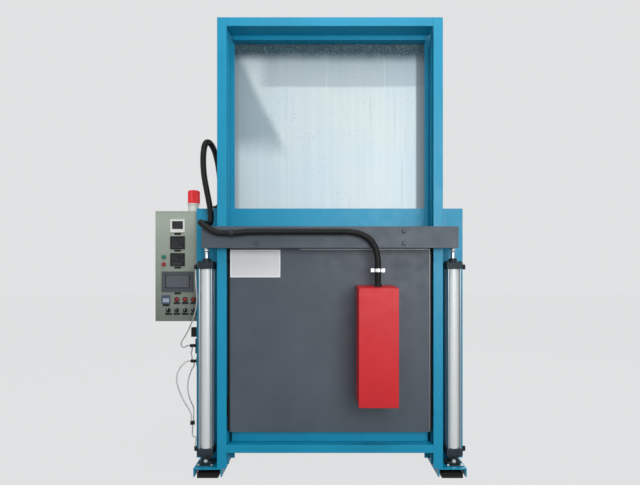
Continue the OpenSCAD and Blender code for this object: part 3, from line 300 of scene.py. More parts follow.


# Hot-dip galvanised sheet: cool grey zinc with rain streaks, drip specks and a cloudy haze, darker in narrow
# strips near its sides, with a painted reflection of the top beam as a speckled dark teal band along its top
def galvanisedSheet(name):
    material, tree, shader, coords = newMaterial(name, "#c1d3dc", {"Metallic": 0.15, "Roughness": 0.5})
    # each pattern's stretch, its detail and its stops
    patterns = {
        "streaks": ((26, 26, 0.6), 4, [(0.30, "#b4c6ce"), (0.50, "#bacbd3"), (0.72, "#bfcfd6")]),
        "haze": ((1.6, 1.6, 1.4), 3, [(0.40, 0.0), (0.66, 0.5)]),
        "scatter": ((5, 5, 5), 4, [(0.44, 0.0), (0.58, 1.0)]),
        "paleRuns": ((90, 90, 1.4), 2, [(0.68, 0.0), (0.76, 0.35)]),
        "dullRuns": ((60, 60, 1.1), 2, [(0.24, 0.4), (0.32, 0.0)]),
        # the speckled dark teal of the painted reflection of the beam along the sheet's top
        "paintedDarkening": ((110, 110, 110), 2, [(0.40, "#233f47"), (0.58, "#36545d"), (0.70, "#56737b")]),
    }
    look = {}
    for tag, (stretch, detail, stops) in patterns.items():
        drawn = addNode(tree, "Mapping", {"Vector": coords, "Scale": stretch})["Vector"]
        look[tag] = mottle(tree, drawn, 1, detail, stops)
    # stain drips, 4 to 8 mm
    cells = addNode(tree, "TexVoronoi", {"feature": "F1", "Vector": coords, "Scale": 52})["Distance"]
    drips = addNode(tree, "ValToRGB", {"Fac": cells, "stops": [(0.09, 0.75), (0.19, 0.0)]})["Color"]
    specks = addNode(tree, "Math", {"operation": "MULTIPLY", 0: drips, 1: look["scatter"]})[0]

    place = addNode(tree, "SeparateXYZ", {"Vector": coords})
    across, height = place["X"], place["Z"]
    slope = addNode(tree, "Math", {"operation": "MULTIPLY_ADD", 0: height, 1: 0.5, 2: across})[0]
    wobble = addNode(tree, "TexNoise", {"Vector": coords, "Scale": 3, "Detail": 4, "Roughness": 0.6})["Fac"]
    # soft-edged zones, in metres: along what, how far the edge wanders, from where to where, and how strong
    zones = {
        "duller": (height, 0.02, 2.535, 2.56, 0.62), "dullerLeft": (across, 0.0, -0.36, -0.25, 1.0),
        "slanted": (slope, 0.05, 0.965, 0.895, 0.8), "slantedLow": (height, 0.2, 2.14, 2.34, 1.0),
        # rightDarkStrip and leftDarkStrip make the sheet darker in narrow strips near its right and left
        # edges
        "rightDarkStrip": (across, 0.0, 0.714, 0.728, 0.85), "leftDarkStrip": (across, 0.0, -0.445, -0.48, 0.6),
        # beamReflection lays that painted reflection over the sheet's top, from 2.705 m up
        "beamReflection": (height, 0.05, 2.705, 2.80, 0.97),
    }
    zone = {}
    for tag, (measure, wander, start, end, most) in zones.items():
        wavy = addNode(tree, "Math", {"operation": "MULTIPLY_ADD", 0: wobble, 1: wander, 2: measure})[0]
        zone[tag] = addNode(tree, "MapRange", {"interpolation_type": "SMOOTHSTEP", "Value": wavy,
                                               "From Min": start, "From Max": end, "To Max": most})["Result"]
    dull = addNode(tree, "Math", {"operation": "MULTIPLY", 0: zone["duller"], 1: zone["dullerLeft"]})[0]
    cloud = addNode(tree, "Math", {"operation": "MULTIPLY", 0: zone["slanted"], 1: zone["slantedLow"]})[0]

    tone = look["streaks"]
    for share, colour in (
            (look["haze"], "#c9d1ca"), (dull, "#8f9ea6"), (cloud, "#7d9099"), (specks, "#6c7d84"),
            (look["paleRuns"], "#d5dde0"), (look["dullRuns"], "#94a4ab"), (zone["rightDarkStrip"], "#5c6b73"),
            (zone["leftDarkStrip"], "#7d8a90"), (zone["beamReflection"], look["paintedDarkening"])):
        tone = addNode(tree, "Mix", {"data_type": "RGBA", 0: share, 6: tone, 7: colour})[2]
    feed(tree, shader, {"Base Color": tone, "Normal": emboss(tree, coords, 2, 2, 0.25, 0.004)})
    return material


# Drawn and anodised aluminium barrel: soft silver with lengthwise die lines under a millimetre apart
def drawnAluminium(name):
    material, tree, shader, coords = newMaterial(name, "#dadfdf", {"Metallic": 0.15, "Roughness": 0.45})
    drawn = addNode(tree, "Mapping", {"Vector": coords, "Scale": (700, 700, 3)})["Vector"]
    lines = addNode(tree, "TexNoise", {"Vector": drawn, "Scale": 1, "Detail": 3, "Roughness": 0.6})["Fac"]
    tone = addNode(tree, "ValToRGB", {"Fac": lines, "stops": [(0.3, "#d3d8d8"), (0.7, "#dde1e1")]})["Color"]
    gloss = addNode(tree, "MapRange", {
        "Value": lines, "From Min": 0.3, "From Max": 0.7, "To Min": 0.36, "To Max": 0.50})["Result"]
    relief = addNode(tree, "Bump", {"Height": lines, "Strength": 0.05, "Distance": 0.0003})["Normal"]
    feed(tree, shader, {"Base Color": tone, "Roughness": gloss, "Normal": relief})
    return material


# Machined and zinc-plated steel: bright, with fine turning marks
def zincSteel(name, colour="#d6d9da", rough=0.26, dull="#b9bdbf"):
    material, tree, shader, coords = newMaterial(name, colour, {"Metallic": 1.0, "Roughness": rough})
    turned = addNode(tree, "Mapping", {"Vector": coords, "Scale": (120, 120, 1500)})["Vector"]
    marks = addNode(tree, "TexNoise", {"Vector": turned, "Scale": 1, "Detail": 2})["Fac"]
    tone = addNode(tree, "ValToRGB", {"Fac": marks, "stops": [(0.3, dull), (0.7, colour)]})["Color"]
    relief = addNode(tree, "Bump", {"Height": marks, "Strength": 0.06, "Distance": 0.0002})["Normal"]
    feed(tree, shader, {"Base Color": tone, "Normal": relief})
    return material


# Cast and blacked end caps: nearly black, with a sand-cast grain of 1 to 2 mm
def blackedCasting(name, colour="#26343c", rough=0.55):
    material, tree, shader, coords = newMaterial(name, colour, {
        "Roughness": rough, "Specular IOR Level": 0.3})
    tone = mottle(tree, coords, 26, 4, [(0.35, "#1b262c"), (0.7, colour)])
    relief = emboss(tree, coords, 620, 3, 0.18, 0.0005, 0.6)
    feed(tree, shader, {"Base Color": tone, "Normal": relief})
    return material


# Injection-moulded ABS or polyamide: one even colour with a faint spark-eroded grain of half a millimetre
def mouldedPlastic(name, colour, rough=0.42, grain=0.10, sheen=0.3):
    material, tree, shader, coords = newMaterial(name, colour, {
        "Roughness": rough, "IOR": 1.5, "Specular IOR Level": sheen})
    dust = mottle(tree, coords, 18, 4, [(0.40, 0.0), (0.95, 0.06)], 0.6)
    tone = addNode(tree, "Mix", {"data_type": "RGBA", 0: dust, 6: colour, 7: "#b9b7ae"})[2]
    relief = emboss(tree, coords, 1500, 1, grain, 0.0002)
    feed(tree, shader, {"Base Color": tone, "Normal": relief})
    return material


# Ribbed polyamide conduit: matt black, with a little grey dust in patches
def conduitPlastic(name, colour="#080a0b"):
    material, tree, shader, coords = newMaterial(name, colour, {
        "Roughness": 0.40, "IOR": 1.5, "Specular IOR Level": 0.22})
    dust = mottle(tree, coords, 30, 4, [(0.55, 0.0), (0.95, 0.05)], 0.6)
    tone = addNode(tree, "Mix", {"data_type": "RGBA", 0: dust, 6: colour, 7: "#5d6164"})[2]
    relief = emboss(tree, coords, 900, 2, 0.1, 0.0003)
    feed(tree, shader, {"Base Color": tone, "Normal": relief})
    return material


# Extruded polyurethane air tube: milky, with a soft glow through its wall
def tubePolyurethane(name):
    material, tree, shader, coords = newMaterial(name, "#d5d9db", {
        "Roughness": 0.28, "IOR": 1.5, "Subsurface Weight": 0.25, "Subsurface Scale": 0.003})
    feed(tree, shader, {"Base Color": mottle(tree, coords, 12, 3, [(0.35, "#bfc5c8"), (0.65, "#e0e3e4")])})
    return material


# Moulded acrylic lens: deep red with a hard gloss, and a little light of its own where it is asked for
def redLens(name, colour="#d9222c", shade="#b81820", glow=0.25):
    material, tree, shader, coords = newMaterial(name, colour, {
        "Roughness": 0.24, "IOR": 1.49, "Specular IOR Level": 0.35,
        "Emission Color": linear(colour), "Emission Strength": glow})
    feed(tree, shader, {"Base Color": mottle(tree, coords, 60, 2, [(0.2, shade), (0.5, colour)])})
    return material


# Hard-coated display window: smoked and even, with faint finger smears
def displayGlass(name, colour, rough=0.3):
    material, tree, shader, coords = newMaterial(name, colour, {
        "Roughness": rough, "IOR": 1.5, "Specular IOR Level": 0.3})
    smear = mottle(tree, coords, 34, 3, [(0.4, 0.0), (0.95, 0.10)])
    tone = addNode(tree, "Mix", {"data_type": "RGBA", 0: smear, 6: colour, 7: "#8b949b"})[2]
    feed(tree, shader, {"Base Color": tone})
    return material


# Vacuum-formed ceramic fibre board: chalky and felted, stained by heat, with butt joints between blocks
def fibreBoard(name, colour="#ded8c8"):
    material, tree, shader, coords = newMaterial(name, colour, {"Roughness": 0.95, "IOR": 1.4})
    tone = mottle(tree, coords, 5, 4, [(0.35, "#b9a98e"), (0.7, colour)])
    place = addNode(tree, "SeparateXYZ", {"Vector": coords})
    joints = 0.0
    for axis, pitch in (("X", 0.3), ("Y", 0.3), ("Z", 0.2)):
        cycle = addNode(tree, "Math", {"operation": "PINGPONG", 0: place[axis], 1: pitch / 2})[0]
        line = addNode(tree, "MapRange", {"Value": cycle, "From Max": 0.0018, "To Min": 1.0, "To Max": 0.0})
        joints = addNode(tree, "Math", {"operation": "MAXIMUM", 0: joints, 1: line["Result"]})[0]
    tone = addNode(tree, "Mix", {"data_type": "RGBA", 0: joints, 6: tone, 7: "#5d5344"})[2]
    relief = emboss(tree, coords, 260, 5, 0.35, 0.0015, 0.7)
    feed(tree, shader, {"Base Color": tone, "Normal": relief})
    return material


# Pressed and fired refractory: brown grog with a coarse grain of 2 to 4 mm
def firedRefractory(name, colour="#8a7c68"):
    material, tree, shader, coords = newMaterial(name, colour, {"Roughness": 0.9, "IOR": 1.4})
    tone = mottle(tree, coords, 22, 6, [(0.3, "#5f5343"), (0.7, colour)], 0.7)
    grog = addNode(tree, "TexVoronoi", {"feature": "F1", "Vector": coords, "Scale": 320})["Distance"]
    relief = addNode(tree, "Bump", {"Height": grog, "Strength": 0.3, "Distance": 0.0012})["Normal"]
    feed(tree, shader, {"Base Color": tone, "Normal": relief})
    return material


# Heat-scaled steel: purple-brown oxide in patches on dark grey
def scaledSteel(name):
    material, tree, shader, coords = newMaterial(name, "#5d5a58", {"Metallic": 0.6, "Roughness": 0.6})
    tone = mottle(tree, coords, 11, 6, [(0.35, "#3b3634"), (0.52, "#6b5349"), (0.7, "#767a7d")], 0.7)
    relief = emboss(tree, coords, 200, 4, 0.3, 0.0008)
    feed(tree, shader, {"Base Color": tone, "Normal": relief})
    return material


# Vulcanised rubber: black, dusty within 20 mm of the floor, with a moulded grain of about 3 mm
def vulcanisedRubber(name, colour="#0d0d0e"):
    material, tree, shader, coords = newMaterial(name, colour, {
        "Roughness": 0.75, "Specular IOR Level": 0.2})
    height = addNode(tree, "SeparateXYZ", {"Vector": coords})["Z"]
    dust = addNode(tree, "MapRange", {
        "Value": height, "From Min": 0.0, "From Max": 0.02, "To Min": 0.12, "To Max": 0.0})["Result"]
    tone = addNode(tree, "Mix", {"data_type": "RGBA", 0: dust, 6: colour, 7: "#8a8781"})[2]
    relief = emboss(tree, coords, 300, 3, 0.25, 0.0008)
    feed(tree, shader, {"Base Color": tone, "Normal": relief})
    return material


finishes = {
    "blue_paint": sprayedEnamel("sprayedBlueEnamel", "#0792b9", "#048ab0", 0.40),
    "door_paint": sprayedEnamel("sprayedGreyEnamel", "#4d5761", "#414b55", 0.46, 0.08, 0.30),
    "red_paint": sprayedEnamel("sprayedRedEnamel", "#cb1a24", "#c2151f", 0.42, 0.12, 0.12),
    # the control box's coat gets painted shade, darker towards the bottom from 1.62 m down to 1.0 m
    "box_paint": sprayedEnamel("texturedBoxEnamel", "#a9b4a8", "#9faa9e", 0.55, 0.35, 0.08, 0.4,
                               (1.62, 1.0, "#636b62")),
    "plate_white": sprayedEnamel("bareWhitePlate", "#f6f7f9", "#ecedf0", 0.36, 0.03, 0.12),
    "dark_metal": blackedCasting("blackedCasting"),
    "bright_steel": zincSteel("zincPlatedSteel"),
    "barrel": drawnAluminium("drawnAluminium"),
    "sheet": galvanisedSheet("galvanisedSheet"),
    "lining": fibreBoard("ceramicFibreBoard"),
    "hearth": firedRefractory("hearthRefractory"),
    "heater": firedRefractory("heaterCeramic", "#b79a78"),
    "ring": scaledSteel("heatScaledSteel"),
    "rubber": vulcanisedRubber("vulcanisedRubber"),
    "hose": conduitPlastic("ribbedConduitPlastic"),
    "air_hose": tubePolyurethane("airTubePolyurethane"),
    "black_plastic": mouldedPlastic("mouldedBlackPolyamide", "#15181a", 0.5, 0.10, 0.2),
    "light_plastic": mouldedPlastic("mouldedWhiteAbs", "#e8e8e3", 0.38),
    "screen_plastic": mouldedPlastic("mouldedGreyAbs", "#4b5057", 0.45, 0.10, 0.2),
    "meter_plastic": mouldedPlastic("mouldedBlueGreyAbs", "#505c72", 0.42, 0.10, 0.2),
    "red_lens": redLens("acrylicRedLens"),
    "green_cap": mouldedPlastic("mouldedGreenCap", "#1c7558", 0.32, 0.05),
    "red_cap": mouldedPlastic("mouldedRedCap", "#9a2428", 0.32, 0.05),
}
displays = {
    "dark": displayGlass("smokedDisplayGlass", "#16191b"),
    "recorder": displayGlass("recorderGlass", "#1f2526"),
    "operator": displayGlass("operatorGlass", "#555a62"),
    "meter": displayGlass("meterWindow", "#a9b3c2"),
}


def dress(piece, material):
    piece.data.materials.clear()
    piece.data.materials.append(material)


for name, node in frame["nodes"].items():
    dress(node, finishes[slotOf[name]])
for piece in [doorHose, loopHose]:
    dress(piece, finishes["hose"])
for piece in airTubes:
    dress(piece, finishes["air_hose"])
print("materials are mixed")


# Tools for the pieces
def activate(piece):
    deselect()
    piece.select_set(True)
    bpy.context.view_layer.objects.active = piece


def applyAll(piece):
    activate(piece)
    bpy.ops.object.transform_apply(location=True, rotation=True, scale=True)
    for modifier in list(piece.modifiers):
        bpy.ops.object.modifier_apply(modifier=modifier.name)


def roundEdges(piece, width, segments=2, angle=35):
    applyAll(piece)
    modifier = piece.modifiers.new("roundEdges", "BEVEL")
    modifier.width = width / 1000
    modifier.segments = segments
    modifier.limit_method = "ANGLE"
    modifier.angle_limit = math.radians(angle)
    modifier.use_clamp_overlap = True
    applyAll(piece)
    bpy.ops.object.shade_smooth_by_angle(angle=math.radians(angle))
    flat = piece.modifiers.new("flatFaces", "WEIGHTED_NORMAL")
    flat.keep_sharp = True
    applyAll(piece)


def block(name, low, high, edge=0.5, segments=2):
    lowCorner, highCorner = at(*low), at(*high)
    deselect()
    bpy.ops.mesh.primitive_cube_add(size=1, location=(lowCorner + highCorner) / 2)
    piece = bpy.context.object
    piece.name = name
    piece.scale = highCorner - lowCorner
    roundEdges(piece, edge, segments)
    return piece


turns = {"x": (0, math.pi / 2, 0), "y": (math.pi / 2, 0, 0), "z": (0, 0, 0)}
axes = {"x": Vector((1, 0, 0)), "y": Vector((0, 1, 0)), "z": Vector((0, 0, 1))}


def disc(name, middle, radius, length, axis="z", sides=32, edge=0.4, segments=2):
    deselect()
    bpy.ops.mesh.primitive_cylinder_add(vertices=sides, radius=radius / 1000, depth=length / 1000,
                                        location=at(*middle), rotation=turns[axis])
    piece = bpy.context.object
    piece.name = name
    roundEdges(piece, edge, segments)
    return piece


def join(pieces, name):
    activate(pieces[0])
    for piece in pieces:
        piece.select_set(True)
    if len(pieces) > 1:
        bpy.ops.object.join()
    pieces[0].name = name
    return pieces[0]


def finishPiece(piece, body, slot, material=None):
    dress(piece, material or finishes[slot])
    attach(piece, body)
    return piece


def soften(nodeName, width, segments=2):
    # A copy of a drawn node with its edges broken, as folded or filed steel has them
    piece = bpy.data.objects.new(nodeName.replace("_", "") + "Rounded", frame["nodes"][nodeName].data.copy())
    bpy.context.scene.collection.objects.link(piece)
    activate(piece)
    bpy.ops.object.mode_set(mode="EDIT")
    bpy.ops.mesh.select_all(action="SELECT")
    bpy.ops.mesh.remove_doubles(threshold=0.00002)
    bpy.ops.mesh.dissolve_limited(angle_limit=math.radians(0.5))
    bpy.ops.object.mode_set(mode="OBJECT")
    roundEdges(piece, width, segments, 40)
    finishPiece(piece, bodyOf[nodeName], slotOf[nodeName])
    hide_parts(nodeName)
    return piece


softEdges = {
    "foot_left": 2.0, "foot_right": 2.0, "foot_pads": 3.0, "post_left": 2.0, "post_right": 2.0,
    "top_beam": 2.0, "sill_beam": 2.0, "door_rest": 2.0, "guide_rails": 1.0, "mouth_ring": 1.5,
    "front_plate": 1.0, "casing_sides": 0.8, "casing_rear": 0.8, "crossbar": 2.5, "door_shell": 1.5,
    "terminal_cover": 2.4, "cylinder_heads": 1.5, "cylinder_ends": 1.5, "cylinder_brackets": 1.2,
    "control_box": 1.5, "control_panel": 0.8, "recorder": 1.5, "controllers": 1.5, "operator_screen": 2.0,
    "meter": 1.5, "label_plates": 0.3, "air_valves": 1.2, "air_fittings": 0.6, "switch_1": 0.8,
    "switch_2": 0.8, "switch_3": 0.8, "switch_4": 0.8,
    "guide_shoes": 1.0, "hearth_plate": 1.5, "side_heaters": 1.0, "door_heater": 1.0, "conduit_clamps": 0.6,
    "roof_gland": 0.8, "nameplate": 0.4, "base_frame": 1.5,
}
for nodeName, width in softEdges.items():
    soften(nodeName, width)
dress(frame["nodes"]["piston_rods"], zincSteel("hardChromeRod", "#d3dcdc", 0.36, "#c4cecf"))
dress(frame["nodes"]["tie_rods"], zincSteel("greyTieRodSteel", "#9aa6ac", 0.35, "#84929a"))
print("edges of the drawn pieces are broken")


# Bolts and screws, standing out along an axis from a face; side is 1 or -1, the way the head points. The
# shares are of a bolt's width across its flats, or of a screw's radius
boltShares = {"height": 0.42, "corner": 0.56, "washer": 0.66, "washerWall": 0.1, "edge": 0.04, "rim": 0.08,
              "dish": 0.03, "stud": 0.27}
screwShares = {"height": 0.55, "edge": 0.3, "rim": 0.25, "slotRim": 0.08, "slot": 0.2}


def pickFaces(piece, wanted):
    # Edit mode, with the wanted faces selected
    activate(piece)
    bpy.ops.object.mode_set(mode="EDIT")
    bpy.ops.mesh.select_all(action="DESELECT")
    bpy.ops.mesh.select_mode(type="FACE")
    form = bmesh.from_edit_mesh(piece.data)
    for face in form.faces:
        face.select = wanted(face)
    bmesh.update_edit_mesh(piece.data)


def hexBolt(name, place, axis, side, across, washer=True):
    direction = axes[axis] * side
    height = across * boltShares["height"]
    parts, base = [], Vector(place)
    if washer:
        wall = across * boltShares["washerWall"]
        parts.append(disc(name + "Washer", base + direction * wall / 2, across * boltShares["washer"], wall,
                          axis, 28, 0.2))
        base = base + direction * wall
    head = disc(name + "Head", base + direction * height / 2, across * boltShares["corner"], height, axis, 6,
                across * boltShares["edge"], 1)
    pickFaces(head, lambda face: face.normal.dot(direction) > 0.99)
    bpy.ops.mesh.inset(thickness=across * boltShares["rim"] / 1000, depth=across * boltShares["dish"] / 1000)
    bpy.ops.object.mode_set(mode="OBJECT")
    return join(parts + [head], name)


def panScrew(name, place, axis, side, radius):
    direction = axes[axis] * side
    height = radius * screwShares["height"]
    screw = disc(name, Vector(place) + direction * height / 2, radius, height, axis, 20,
                 radius * screwShares["edge"], 3)
    pickFaces(screw, lambda face: (face.normal.dot(direction) > 0.99
                                   and face.calc_area() > (radius / 1000) ** 2))
    bpy.ops.mesh.inset(thickness=radius * screwShares["rim"] / 1000)
    bpy.ops.mesh.inset(thickness=radius * screwShares["slotRim"] / 1000,
                       depth=-radius * screwShares["slot"] / 1000)
    bpy.ops.object.mode_set(mode="OBJECT")
    return screw


def ringOf(name, place, axis, radius, wire, sides=40, turnsAt=8):
    deselect()
    bpy.ops.mesh.primitive_torus_add(location=at(*place), rotation=turns[axis], major_radius=radius / 1000,
                                     minor_radius=wire / 1000, major_segments=sides, minor_segments=turnsAt)
    piece = bpy.context.object
    piece.name = name
    applyAll(piece)
    bpy.ops.object.shade_smooth()
    return piece


# Crossbar: painted round heads in pairs over dark spring washers, and bright nuts on the piston rods
crossbarBolts = {"span": 456, "level": 1515, "pitch": 37, "headY": -71, "ringY": -66.6}

heads, rings = [], []
for x in (-crossbarBolts["span"], crossbarBolts["span"]):
    for z in (-crossbarBolts["pitch"], crossbarBolts["pitch"]):
        level = crossbarBolts["level"] + z
        heads.append(disc("crossbarHead", (x, crossbarBolts["headY"], level), 12, 8, "y", 40, 3.2, 4))
        rings.append(ringOf("crossbarRing", (x, crossbarBolts["ringY"], level), "y", 12.6, 1.3))
finishPiece(join(heads, "crossbarBoltHeads"), "door", "door_paint")
finishPiece(join(rings, "crossbarBoltRings"), "door", "dark_metal")

rodEnd = {"axisX": 796, "axisY": 85, "across": 32, "lugBottom": 1456, "lugTop": 1480, "lowerNut": 23,
          "upperNut": 16, "washer": 2.4, "neck": 1430.5}
nuts = []
for side in (-1, 1):
    x, y = side * rodEnd["axisX"], rodEnd["axisY"]
    for middle, height in ((rodEnd["lugBottom"] - rodEnd["lowerNut"] / 2, rodEnd["lowerNut"]),
                           (rodEnd["lugTop"] + rodEnd["upperNut"] / 2, rodEnd["upperNut"])):
        nuts.append(disc("rodNut", (x, y, middle), rodEnd["across"] / 2, height, "z", 6, 1.4, 2))
    nuts.append(disc("rodWasher", (x, y, rodEnd["lugBottom"] - rodEnd["washer"] / 2), 19, rodEnd["washer"],
                     "z", 40, 0.5))
rodNuts = join(nuts, "rodNuts")
finishPiece(rodNuts, "door", "bright_steel")
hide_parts("crossbar_fasteners")
necks = [disc("rodNeck", (side * rodEnd["axisX"], rodEnd["axisY"], rodEnd["neck"]), 14, 5, "z", 40, 1.0)
         for side in (-1, 1)]
finishPiece(join(necks, "rodNecks"), "door", "dark_metal")
print("crossbar is bolted")


# Cylinders: nuts of the tie rods, cushion screws, joints at the caps, wiper rings and boss lips
cylinder = {"axisX": 796, "axisY": 85, "rodPitch": 38, "headTop": 1361, "headBottom": 1321, "endTop": 169,
            "endBottom": 131, "face": 51, "joint": 0.8, "lip": 1384, "wiper": 1387, "rodHole": 25.2}

for side, hand in ((-1, "Left"), (1, "Right")):
    x0, y0 = side * cylinder["axisX"], cylinder["axisY"]
    steel, dark = [], []
    for dx in (-1, 1):
        for dy in (-1, 1):
            x, y = x0 + dx * cylinder["rodPitch"], y0 + dy * cylinder["rodPitch"]
            steel.append(hexBolt("tieNutTop", (x, y, cylinder["headTop"]), "z", 1, 17))
            steel.append(hexBolt("tieNutEnd", (x, y, cylinder["endBottom"]), "z", -1, 17))
    for z, joint in ((cylinder["headBottom"] + 14, cylinder["headBottom"] - cylinder["joint"]),
                     (cylinder["endTop"] - 14, cylinder["endTop"] + cylinder["joint"])):
        steel.append(panScrew("cushionScrew", (x0 + 22, y0 - cylinder["face"], z), "y", -1, 5))
        dark.append(disc("capJoint", (x0, y0, joint), 44.5, cylinder["joint"] * 2, "z", 48, 0.3))
    dark.append(ringOf("wiper", (x0, y0, cylinder["wiper"]), "z", 15.4, 2.4))
    lip = disc("bossLip", (x0, y0, cylinder["lip"]), 24, 5, "z", 48, 1.2)
    finishPiece(join(steel, "tieRodNuts" + hand), "frame", "dark_metal")
    # the lip is bored for the rod
    deselect()
    bpy.ops.mesh.primitive_cylinder_add(vertices=48, radius=cylinder["rodHole"] / 2000, depth=0.02,
                                        location=at(x0, y0, cylinder["lip"]))
    cutter = bpy.context.object
    modifier = lip.modifiers.new("rodHole", "BOOLEAN")
    modifier.object = cutter
    modifier.solver = "EXACT"
    applyAll(lip)
    bpy.data.objects.remove(cutter)
    finishPiece(join(dark + [lip], "capDetails" + hand), "frame", "dark_metal")
print("cylinders are fitted out")


# Bottom pins: turned ends with a snap ring, and washers under the brackets' bolts
pin = {"level": 87, "reach": 31.5, "ringInset": 3.2, "boltPitch": 42, "washer": 69}
pinParts, washers = [], []
for side in (-1, 1):
    x, y0 = side * cylinder["axisX"], cylinder["axisY"]
    for end in (-1, 1):
        y = y0 + end * pin["reach"]
        pinParts.append(disc("pinEnd", (x, y, pin["level"]), 12, 3, "y", 32, 0.8))
        pinParts.append(ringOf("snapRing", (x, y - end * pin["ringInset"], pin["level"]), "y", 10.4, 1.1))
    for dx in (-pin["boltPitch"], pin["boltPitch"]):
        for dy in (-pin["boltPitch"], pin["boltPitch"]):
            washers.append(disc("bracketWasher", (x + dx, y0 + dy, pin["washer"]), 14, 2, "z", 28, 0.4))
finishPiece(join(pinParts, "pinEnds"), "frame", "bright_steel")
finishPiece(join(washers, "bracketWashers"), "frame", "bright_steel")
print("brackets are pinned")


# Nameplate: bare, with a raised white rim and four rivets
plate = {"left": -633, "right": -315, "bottom": 1266, "top": 1441, "face": 23, "rim": 7, "rivetInset": 14}
left, right, bottom, top, rim = (plate[k] for k in ("left", "right", "bottom", "top", "rim"))
rimParts = []
for lowX, highX, lowZ, highZ in (
        (left, right, bottom, bottom + rim), (left, right, top - rim, top),
        (left, left + rim, bottom + rim, top - rim), (right - rim, right, bottom + rim, top - rim)):
    rimParts.append(block("plateRim", (lowX, plate["face"] - 1, lowZ), (highX, plate["face"], highZ), 0.3))
for x in (left + plate["rivetInset"], right - plate["rivetInset"]):
    for z in (bottom + plate["rivetInset"], top - plate["rivetInset"]):
        rimParts.append(disc("plateRivet", (x, plate["face"] - 0.6, z), 3.2, 1.6, "y", 16, 0.6))
finishPiece(join(rimParts, "plateRim"), "door", "plate_white")
bareField = sprayedEnamel("bareGreyWhiteField", "#dfe1e4", "#d6d8db", 0.4, 0.03, 0.10)
dress(bpy.data.objects["nameplateRounded"], bareField)


# Door: a pale strip under the crossbar that is a painted highlight along the door's top edge, a pale steel
# strip down the right edge, and black strips beside the door
doorTrim = {"face": 25, "right": 636, "low": 287, "strip": 3, "sealInner": 637, "sealOuter": 650}
strips = [
    # topEdgeHighlight is a painted highlight: a pale strip along the door's top edge under the crossbar
    block("topEdgeHighlight", (-190, doorTrim["face"] - 1.4, 1442), (doorTrim["right"], doorTrim["face"], 1447), 0.3),
    block("stripRight", (doorTrim["right"] - doorTrim["strip"], doorTrim["face"] - 1.2, doorTrim["low"]),
          (doorTrim["right"], doorTrim["face"], 1441), 0.3),
]
paleStripSteel = zincSteel("paleEdgeStrip", "#959a9d", 0.5, "#7f8487")
finishPiece(join(strips, "doorEdgeStrips"), "door", "bright_steel", paleStripSteel)
# black strips down both sides of the door, from just above its low edge to under the crossbar
sideStrips = [block("sideBlackStrip", (low, 27, doorTrim["low"] + 1), (high, 52, 1446), 2)
         for low, high in ((-doorTrim["sealOuter"], -doorTrim["sealInner"]),
                           (doorTrim["sealInner"], doorTrim["sealOuter"]))]
finishPiece(join(sideStrips, "doorSideBlackStrips"), "door", "rubber")

# Terminal cover: screws in its two sides
cover = {"left": 166, "right": 400, "screwY": 8, "levels": (560, 853, 1146)}
coverParts = []
for z in cover["levels"]:
    for x, side in ((cover["left"], -1), (cover["right"], 1)):
        coverParts.append(panScrew("coverScrew", (x, cover["screwY"], z), "x", side, 5))
finishPiece(join(coverParts, "coverScrews"), "door", "bright_steel")

# Hose collars: a hex gland nut under each hose, and a rubber lip
glandAt, roofAt = Vector(doorRoute[0]), Vector(loopRoute[-1])
gland = [
    disc("glandNut", glandAt - Vector((0, 0, 8)), 27, 9, "z", 6, 1.6, 2),
    disc("glandCap", glandAt + Vector((0, 0, 0.5)), 24, 6, "z", 40, 1.2),
    ringOf("glandLip", glandAt + Vector((0, 0, 4)), "z", 20.5, 2.0),
]
finishPiece(join(gland, "hoseCollar"), "door", "black_plastic")
roofNut = [
    disc("roofNut", roofAt - Vector((0, 0, 9.5)), 31, 9, "z", 6, 1.6, 2),
    ringOf("roofLip", roofAt + Vector((0, 0, 0.5)), "z", 20.5, 2.2),
]
finishPiece(join(roofNut, "roofGlandNut"), "frame", "black_plastic")

# Clamp screws through the two ears of the hose clamp
clamp = {"ear": 34, "screwY": -98, "level": 1309}
bright = [hexBolt("clampScrew", (glandAt.x + dx, clamp["screwY"], clamp["level"]), "y", -1, 9)
          for dx in (-clamp["ear"], clamp["ear"])]
finishPiece(join(bright, "clampScrews"), "door", "bright_steel")
# The saddle and the collar are parted from the bright clamp, and are black
clamps = bpy.data.objects["conduitclampsRounded"]
pickFaces(clamps, lambda face: not 1.27 < face.calc_center_median().z < 1.35)
bpy.ops.mesh.separate(type="SELECTED")
bpy.ops.object.mode_set(mode="OBJECT")
saddle = [piece for piece in bpy.context.selected_objects if piece != clamps][0]
saddle.name = "hoseSaddle"
finishPiece(saddle, "door", "dark_metal")
print("door is trimmed")


# Gantry: weld beads at the corners, where the beams meet the posts
weld = {"radius": 2.4, "pitch": 3.4}


def weldBead(name, start, end):
    # A row of overlapping ripples, as a hand-laid seam has
    a, b = at(*start), at(*end)
    places, _ = stationsOn([a, b], weld["pitch"] / 1000 / 3)
    radii = [weld["radius"] / 1000 * (0.86 + 0.14 * math.sin(2.1 * i)) for i in range(len(places))]
    return sweep(name, places, radii, 8, (0.3, 0.5, 0.2) if abs((b - a).x) < 0.001 else (0, 0.5, 0.2))


seams = [
    ((652, 0.4, 2850), (652, 0.4, 2904)), ((652, 0.4, 161), (652, 0.4, 207)),
    ((684, 0.6, 62), (711, 0.6, 62)), ((711.5, 179.4, 166), (711.5, 179.4, 1722)),
    ((713, 4, 62.6), (713, 176, 62.6)),
]
lugSeam = ((754, -7.6, 1481), (788, -7.6, 1481))


def beadsOn(name, lines, body, slot):
    beads = [weldBead("seam", (side * a[0], *a[1:]), (side * b[0], *b[1:]))
             for side in (-1, 1) for a, b in lines]
    finishPiece(join(beads, name), body, slot)


beadsOn("weldBeads", seams, "frame", "blue_paint")
beadsOn("lugWeldBeads", [lugSeam], "door", "door_paint")

